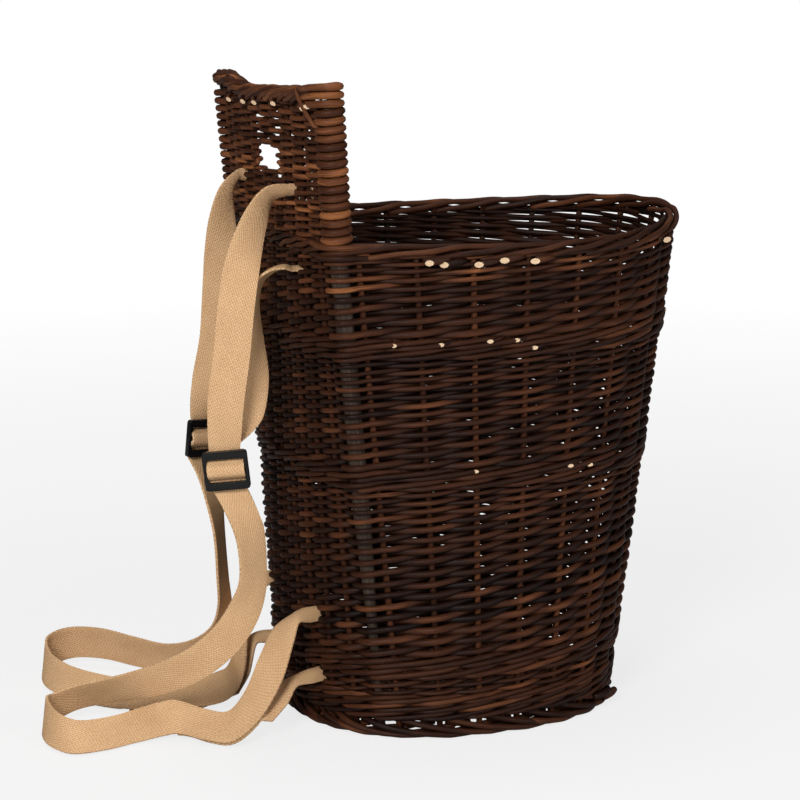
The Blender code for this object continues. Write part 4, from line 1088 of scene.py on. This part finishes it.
# Foot border. Each stake's lower end is bent to the right and woven into a
# roll, which the basket stands on.
# Way of one rod of the roll: weaving places along, distance out, height
FOOT_PATH = (
    (-0.3, -0.004, 0.019),
    (0.25, 0.001, 0.0155),
    (0.7, 0.0052, 0.0118),
    (1.3, 0.0060, 0.0072),
    (1.9, 0.0038, 0.0036),
    (2.5, -0.0010, 0.0030),
    (3.0, -0.0050, 0.0052),
    (3.5, -0.0062, 0.0100),
    (3.9, -0.0040, 0.0135),
)
FOOT_ROD = 0.0026
FOOT_SHIFT = 0.07
FOOT_THINNEST, FOOT_THICKEST = 0.88, 1.12
FOOT_STEPS = 5
SUNK_SHARE = 0.68
LOWEST_ROD = 0.0028
FOOT_ENDS = ((5.9, 0.0165), (6.4, 0.0105), (9.3, 0.012), (12.7, 0.014), (16.4, 0.011))
path = [Vector(place) for place in (FOOT_PATH[0], *FOOT_PATH, FOOT_PATH[-1])]
foot_rods = []
for number in range(2 * PLACES):
    start = number / 2 + dice.uniform(-FOOT_SHIFT, FOOT_SHIFT)
    radius = FOOT_ROD * dice.uniform(FOOT_THINNEST, FOOT_THICKEST)
    sunk = SUNK_SHARE if number % 2 else 1.0
    points = []
    for index in range(len(FOOT_PATH) - 1):
        for step in range(FOOT_STEPS):
            along, offset, height = evenly_smooth(*path[index:index + 4], step / FOOT_STEPS)
            points.append(wall(station_of(start + along), max(height * sunk, LOWEST_ROD), offset))
    foot_rods.append(shoot(points, radius, usual_shade()))
# Stout ends stick out at the front of the foot
foot_rods += snipped_ends(FOOT_ENDS, offset=0.0125, radius=0.0031, run=-0.5, climb=-0.003, pale=False)
rods("foot_roll", foot_rods, "foot_border")


# The wall from the foot up: a waling, a short band, a second waling, and then
# three bands of randing with a twisted wale between each and the next.
MIDDLE_WALE_ENDS = (
    (1.95, 0.2425), (4.0, 0.2400), (4.5, 0.2380), (8.3, 0.2410), (14.2, 0.2400), (22.4, 0.2410),
)
UPPER_WALE_ENDS = (
    (0.6, 0.354), (1.35, 0.354), (2.25, 0.3555), (2.75, 0.3555), (3.1, 0.348), (7.7, 0.354), (11.2, 0.350),
    (15.6, 0.354), (24.1, 0.352),
)
rods("foot_waling_rods", wale(low=0.0170, high=0.0395, rows=3, radius=0.0022), "foot_waling")
randing("upset_rods", "upset_weave", low=0.037, high=0.058, passes=6, taper=EVEN)
rods("upset_waling_rods", wale(low=0.055, high=0.075, rows=2, radius=0.0025), "upset_waling")
randing("lower_band_rods", "lower_weave", low=0.072, high=0.230, passes=34, taper=LOWER_TAPER)
middle_wale = wale(low=0.2265, high=0.2445, rows=2, radius=0.0023)
middle_wale += snipped_ends(MIDDLE_WALE_ENDS, offset=0.0075, radius=0.0016, run=0.3, climb=0.002)
rods("middle_wale_rods", middle_wale, "middle_wale")
randing("middle_band_rods", "middle_weave", low=0.241, high=0.344, passes=26, taper=MIDDLE_TAPER)
upper_wale = wale(low=0.3405, high=0.3585, rows=2, radius=0.0023)
upper_wale += snipped_ends(UPPER_WALE_ENDS, offset=0.0078, radius=0.0018, run=0.3, climb=0.003)
rods("upper_wale_rods", upper_wale, "upper_wale")
randing(
    "upper_band_rods", "upper_weave", low=0.355, high=0.431, passes=18, taper=UPPER_TAPER, lifted=(0.15, 1.0)
)


# Rim border. The stakes' upper ends are bent down to the left, rolled over the
# top from the inside to the outside and cut off under the next ones.
RIM_MIDDLE = 0.4328
RIM_REACH, RIM_ROLL_HEIGHT = 0.0054, 0.0056
RIM_FROM_ANGLE, RIM_TURN = 222, 280
RIM_STROKE = 3.9
RIM_STEPS = 40
RIM_WAVE = 0.0006
RIM_BUTT, RIM_TAPER = 0.0027, 0.0004
RIM_PALER = 0.12
SWELL_LEVEL = 0.433
RIM_ENDS = (
    (1.2, 0.4255), (1.45, 0.424), (2.05, 0.424), (2.5, 0.427), (3.05, 0.4255), (6.3, 0.425), (9.2, 0.426),
    (12.6, 0.4245), (15.4, 0.426), (21.5, 0.425), (25.5, 0.426),
)
CLOSING_LEVELS = (0.4285, 0.4375)
CLOSING_ROD = 0.0029
CLOSING_REACH = 0.0058
CLOSING_SPAN = 1.6
CLOSING_STEPS = 9
rim_rods = []
for start in range(PLACES):
    points, radii = [], []
    shade = min(PALEST, usual_shade() + RIM_PALER)
    for step in range(RIM_STEPS + 1):
        share = step / RIM_STEPS
        angle = math.radians(RIM_FROM_ANGLE - RIM_TURN * share)
        station = station_of(start - RIM_STROKE * share)
        offset = (RIM_REACH + post_swell(station, SWELL_LEVEL)) * math.cos(angle)
        height = RIM_MIDDLE + RIM_ROLL_HEIGHT * math.sin(angle)
        height += RIM_WAVE * math.sin(math.tau * RIM_STROKE * share)
        points.append(wall(station, height + lift(station), offset))
        radii.append(RIM_BUTT - RIM_TAPER * share)
    rim_rods.append(shoot(points, radii, shade))
# Ends that were cut off show pale under the roll
for place, height in RIM_ENDS:
    station = station_of(place)
    height += lift(station)
    rim_rods.append(snipped(station, height, offset=0.0092, radius=0.0026, run=0.4, climb=0.003))
# Two rods close the gap round each post under the raised back
for post in POST_STATIONS:
    for height in CLOSING_LEVELS:
        points = []
        for step in range(2 * CLOSING_STEPS + 1):
            share = step / CLOSING_STEPS - 1
            station = post + share * CLOSING_SPAN
            offset = CLOSING_REACH * (1 - abs(share) ** 3) + post_swell(station, height)
            points.append(wall(station, height + lift(station), offset))
        rim_rods.append(shoot(points, CLOSING_ROD, usual_shade()))
rods("rim_roll", rim_rods, "rim_border")


# Raised back. Stout rods go to and fro between the corner posts and turn
# round each of them. In the middle they turn back to leave the hand hole.
RAISED_LOW, RAISED_HIGH = 0.441, 0.553
RAISED_ROWS = 32
HOLE_LOW, HOLE_HIGH = 0.487, 0.511
HOLE_FIRST, HOLE_LAST = 23.72, 26.28
RAISED_ROD = 0.00215
RAISED_PRESSED = 0.85
BEAD_ROD = 0.0033
BEAD_SPAN = 0.75
BEAD_POWER = 0.7
RAISED_STEPS = 10
RAISED_THINNEST, RAISED_THICKEST = 0.92, 1.12
RAISED_WANDER = 0.0006
RAISED_RISE_PACE, RAISED_OUT_PACE = 1.1, 1.7
LEAST_SWING, MOST_SWING = 0.0003, 0.0012
INSIDE_GAIN, OUTSIDE_GAIN = 0.12, -0.06
RAISED_PALER, RAISED_PALEST = 0.27, 0.95
EDGE_REACH = 0.003
POST_TURN_STEPS, EDGE_TURN_STEPS = 8, 6


def raised_row(row, height, start, end, rod_radius):
    """One row between two places, in front of every second stake and thick at the posts."""
    points, radii = [], []
    wander, swing = dice.uniform(0, math.tau), dice.uniform(LEAST_SWING, MOST_SWING)
    count = math.ceil(abs(end - start) * RAISED_STEPS)
    for step in range(count + 1):
        station = start + (end - start) * step / count
        lower = math.floor(station)
        free = min(1.0, min(abs(station - FAR_POST), abs(station - STATIONS)) / BEAD_SPAN)
        radius = rod_radius + (BEAD_ROD - rod_radius) * (1 - free) ** BEAD_POWER
        ends = []
        for stake in (lower, lower + 1):
            side = 1 if (stake + row) % 2 == 0 else -1
            ends.append(side * (stake_radius(stake, height) + radius * RAISED_PRESSED))
        offset = eased(*ends, station - lower)
        radii.append(radius * (1 + (INSIDE_GAIN if offset < 0 else OUTSIDE_GAIN) * free))
        level = height + swing * free * math.sin(station * RAISED_RISE_PACE + wander)
        offset += RAISED_WANDER * free * math.sin(station * RAISED_OUT_PACE + wander)
        points.append(wall(station, level, offset))
    return points, radii


def round_a_post(station, height, climb, side):
    """Half turn round a post, from its outer side to its inner side, or back where the side is -1."""
    centre = stake_point(station, height)
    outward = wall_outward(station, height)
    along = Vector((-outward.y, outward.x, 0))
    to_middle = wall_middle(station - 0.5 if station == STATIONS else station + 0.5, height) - centre
    if to_middle.dot(along) > 0:
        along = -along
    reach = stake_radius(station, height) + BEAD_ROD * RAISED_PRESSED
    points = []
    for step in range(1, POST_TURN_STEPS):
        share = step / POST_TURN_STEPS
        angle = math.pi * share
        place = centre + (outward * (side * math.cos(angle)) + along * math.sin(angle)) * reach
        points.append(place + Vector((0, 0, climb * share)))
    return points, [BEAD_ROD] * len(points)


def round_an_edge(station, height, climb, side):
    """Half turn at the edge of the hand hole."""
    along = (wall_middle(station + 0.1 * side, height) - wall_middle(station, height)).normalized()
    points = []
    for step in range(1, EDGE_TURN_STEPS):
        share = step / EDGE_TURN_STEPS
        reach = EDGE_REACH * math.sin(math.pi * share)
        points.append(wall_middle(station, height + climb * share) + along * reach)
    return points, [RAISED_ROD] * len(points)


def raised_shade():
    return min(RAISED_PALEST, usual_shade() + RAISED_PALER)


pitch = (RAISED_HIGH - RAISED_LOW) / RAISED_ROWS
raised_runs = {part: ([], [], []) for part in ("lower", "far", "near", "upper")}
for row in range(0, RAISED_ROWS, 2):
    height = RAISED_LOW + pitch * (row + 0.5)
    radius = RAISED_ROD * dice.uniform(RAISED_THINNEST, RAISED_THICKEST)
    if HOLE_LOW < height + pitch / 2 < HOLE_HIGH:
        spans = (("far", FAR_POST, HOLE_FIRST), ("near", HOLE_LAST, STATIONS))
    else:
        spans = (("lower" if height < HOLE_LOW else "upper", FAR_POST, STATIONS),)
    for part, start, end in spans:
        outer = raised_row(0, height, start, end, radius)
        inner = raised_row(1, height + pitch, end, start, radius)
        turn = round_an_edge(end, height, pitch, 1) if part == "far" else round_a_post(end, height, pitch, 1)
        if part == "near":
            back = round_an_edge(start, height + pitch, pitch, -1)
        else:
            back = round_a_post(start, height + pitch, pitch, -1)
        points, radii, shades = raised_runs[part]
        for run_points, run_radii in (outer, turn, inner, back):
            points += run_points
            radii += run_radii
        # A new rod is laid in half way along the inner side
        ending_rod = shades[-1] if shades else raised_shade()
        new_rod = raised_shade()
        shades += [ending_rod] * (len(outer[0]) + len(turn[0]) + len(inner[0]) // 2)
        shades += [new_rod] * (len(points) - len(shades))
for part, run in raised_runs.items():
    rods(f"raised_{part}_rods", [shoot(*run)], f"raised_{part}_weave")


# Top border. The last rods are rolled together over the tips of the back
# stakes, from post to post.
TOP_STATIONS = (19.8, 21.2, 23.0, 24.0, 26.0, 28.0, 29.2, 30.2)
TOP_MIDDLES = (0.5615, 0.5612, 0.5545, 0.5543, 0.5568, 0.5595, 0.5618, 0.5645)
TOP_RODS = 17
TOP_FROM, TOP_LENGTH = 19.9, 10.2
TOP_FIRST, TOP_LAST = 19.95, 30.1
TOP_STROKE = 4.4
TOP_STEPS = 30
TOP_FROM_ANGLE, TOP_TURN = 215, 275
TOP_REACH, TOP_ROLL_HEIGHT = 0.0078, 0.0054
TOP_WAVE = 0.0006
TOP_ROD = 0.0024
TOP_THINNEST, TOP_THICKEST = 0.9, 1.12
TOP_PALER = 0.28
EAR_SPAN = 1.2
EAR_REACH, EAR_THICKER = 0.001, 0.0003
LAP_LEVELS = (0.5560, 0.5628, 0.5696)
LAP_OUTSIDE, LAP_INSIDE = (28.7, 29.1, 29.5, 29.8), (29.8, 29.4, 28.9)
LAP_ROD, LAP_TURN_ROD = 0.0031, 0.0032
LAP_REACH = 0.0076
LAP_DROP_OUTSIDE, LAP_DROP_INSIDE = 0.0035, 0.0025
LAP_SPREAD_OUTSIDE, LAP_SPREAD_INSIDE = 0.0022, 0.002
LAP_SHADE, BINDING_SHADE = 0.9, 0.85
FAR_POST_RODS = (0.0085, 0.0, -0.0075)
FAR_POST_ROD = 0.0027
# Way of a rod at the far post: place, height, share of its distance out
FAR_POST_PATH = (
    (19.9, 0.528, 1.0),
    (19.8, 0.543, 1.1),
    (19.82, 0.556, 1.0),
    (20.0, 0.564, 0.8),
    (20.5, 0.5675, 0.6),
    (21.2, 0.5670, 0.5),
    (22.0, 0.5625, 0.4),
)
TOP_ENDS = ((22.35, 0.5460), (23.9, 0.5470), (25.05, 0.5480), (26.9, 0.5505), (29.2, 0.5500), (29.5, 0.5525))
# Way of the binding rod: place, height, distance out
BINDING_PATH = (
    (28.45, 0.5660, 0.0000),
    (28.55, 0.5655, 0.0085),
    (28.95, 0.5580, 0.0115),
    (29.3, 0.5480, 0.0100),
    (29.65, 0.5375, 0.0085),
    (29.8, 0.5330, 0.0010),
)
BINDING_ROD = 0.0019


def top_middle(station):
    """Height of the middle of the roll, which rises to a short ear at each end."""
    return float(np.interp(station, TOP_STATIONS, TOP_MIDDLES))


top_rods = []
for start in range(TOP_RODS):
    points, radii = [], []
    size = dice.uniform(TOP_THINNEST, TOP_THICKEST)
    for step in range(TOP_STEPS + 1):
        share = step / TOP_STEPS
        angle = math.radians(TOP_FROM_ANGLE - TOP_TURN * share)
        station = TOP_FROM + start / (TOP_RODS - 1) * TOP_LENGTH + TOP_STROKE * (0.5 - share)
        station = min(max(station, TOP_FIRST), TOP_LAST)
        ear = max(0.0, 1 - min(abs(station - FAR_POST), abs(station - STATIONS)) / EAR_SPAN)
        height = top_middle(station) + TOP_ROLL_HEIGHT * math.sin(angle)
        height += TOP_WAVE * math.sin(math.tau * (station + share))
        points.append(wall(station, height, (TOP_REACH + EAR_REACH * ear) * math.cos(angle)))
        radii.append((TOP_ROD + EAR_THICKER * ear) * size)
    top_rods.append(shoot(points, radii, min(PALEST, usual_shade() + TOP_PALER)))
# Stout rods go round the near post under the end of the roll
for height in LAP_LEVELS:
    points = []
    for station in LAP_OUTSIDE:
        out = LAP_REACH + LAP_SPREAD_OUTSIDE * (station - STATIONS + 1)
        points.append(wall(station, height - LAP_DROP_OUTSIDE * (STATIONS - station), out))
    turn, _ = round_a_post(STATIONS, height, 0.0, 1)
    points += turn
    for station in LAP_INSIDE:
        out = -LAP_REACH - LAP_SPREAD_INSIDE * (station - STATIONS + 1)
        points.append(wall(station, height - LAP_DROP_INSIDE * (STATIONS - station), out))
    radii = [LAP_ROD] * len(LAP_OUTSIDE) + [LAP_TURN_ROD] * len(turn) + [LAP_ROD] * len(LAP_INSIDE)
    top_rods.append(shoot(points, radii, LAP_SHADE))
# At the far post three rods stand up beside it and bend over into the roll
for out in FAR_POST_RODS:
    points = [wall(station, height, out * reach) for station, height, reach in FAR_POST_PATH]
    top_rods.append(shoot(points, FAR_POST_ROD, raised_shade()))
for station, height in TOP_ENDS:
    top_rods.append(snipped(station, height, offset=0.0115, radius=0.0019, run=-0.4, climb=0.004))
# One rod binds the roll to the raised back beside the near post
top_rods.append(shoot([wall(*place) for place in BINDING_PATH], BINDING_ROD, BINDING_SHADE))
rods("top_roll", top_rods, "top_border")


# Plain pale floor and soft studio light. The floor and the world are white to
# the camera, and the floor still takes the basket's shadow.
FLOOR_GREY = (0.62, 0.62, 0.62, 1)
GLOW_FROM, GLOW_TO = 0.5, 2.4
GLOW_LOW = 0.78
FLOOR_REACH = 6.0
WORLD_LIGHT = 0.12
LAMP_TARGET = Vector((0, 0, 0.25))


def seen_directly(tree):
    """One for what the camera sees, and nought for light on its way elsewhere."""
    rays = add_node(tree, "ShaderNodeLightPath").outputs
    return calculated(tree, "MAXIMUM", rays["Is Camera Ray"], rays["Is Transmission Ray"])


def pale_floor(tree, shader):
    coated(tree, shader, FLOOR_GREY, 0.8)
    # To the camera the floor glows a little, and more so away from the basket
    place = add_node(tree, "ShaderNodeTexCoord").outputs["Object"]
    distance = add_node(tree, "ShaderNodeVectorMath", operation="LENGTH")
    tree.links.new(place, distance.inputs[0])
    glow_share = spread(tree, distance.outputs["Value"], GLOW_LOW, 1.0, GLOW_FROM, GLOW_TO)
    glow = add_node(tree, "ShaderNodeEmission")
    glow.inputs["Strength"].default_value = 1.0
    both = add_node(tree, "ShaderNodeMixShader")
    tree.links.new(calculated(tree, "MULTIPLY", seen_directly(tree), glow_share), both.inputs[0])
    tree.links.new(shader.outputs[0], both.inputs[1])
    tree.links.new(glow.outputs[0], both.inputs[2])
    tree.links.new(both.outputs[0], tree.nodes["Material Output"].inputs["Surface"])


floor_sheet = bmesh.new()
bmesh.ops.create_grid(floor_sheet, x_segments=1, y_segments=1, size=FLOOR_REACH)
floor_mesh = made_mesh("studio_floor", floor_sheet)
studio_floor = finished("studio_floor", floor_mesh, paint("studio_floor", pale_floor))

world = bpy.data.worlds.new("studio")
bpy.context.scene.world = world
world.use_nodes = True
world_tree = world.node_tree
background = world_tree.nodes["Background"]
brightness = spread(world_tree, seen_directly(world_tree), WORLD_LIGHT, 1.0)
feed(world_tree, brightness, background.inputs["Strength"])
background.inputs["Color"].default_value = (1, 1, 1, 1)


def lamp(name, place, size, power):
    light = bpy.data.lights.new(name, "AREA")
    light.shape = "DISK"
    light.size = size
    light.energy = power
    carrier = bpy.data.objects.new(name, light)
    carrier.location = place
    carrier.rotation_euler = (LAMP_TARGET - carrier.location).to_track_quat("-Z", "Y").to_euler()
    bpy.context.scene.collection.objects.link(carrier)


lamp("key", place=(-1.9, -2.3, 1.7), size=1.0, power=77)
lamp("fill", place=(1.4, -2.4, 1.2), size=1.2, power=26)
lamp("top", place=(0.0, 0.2, 2.8), size=1.4, power=26)

bpy.context.scene.view_settings.view_transform = "Standard"
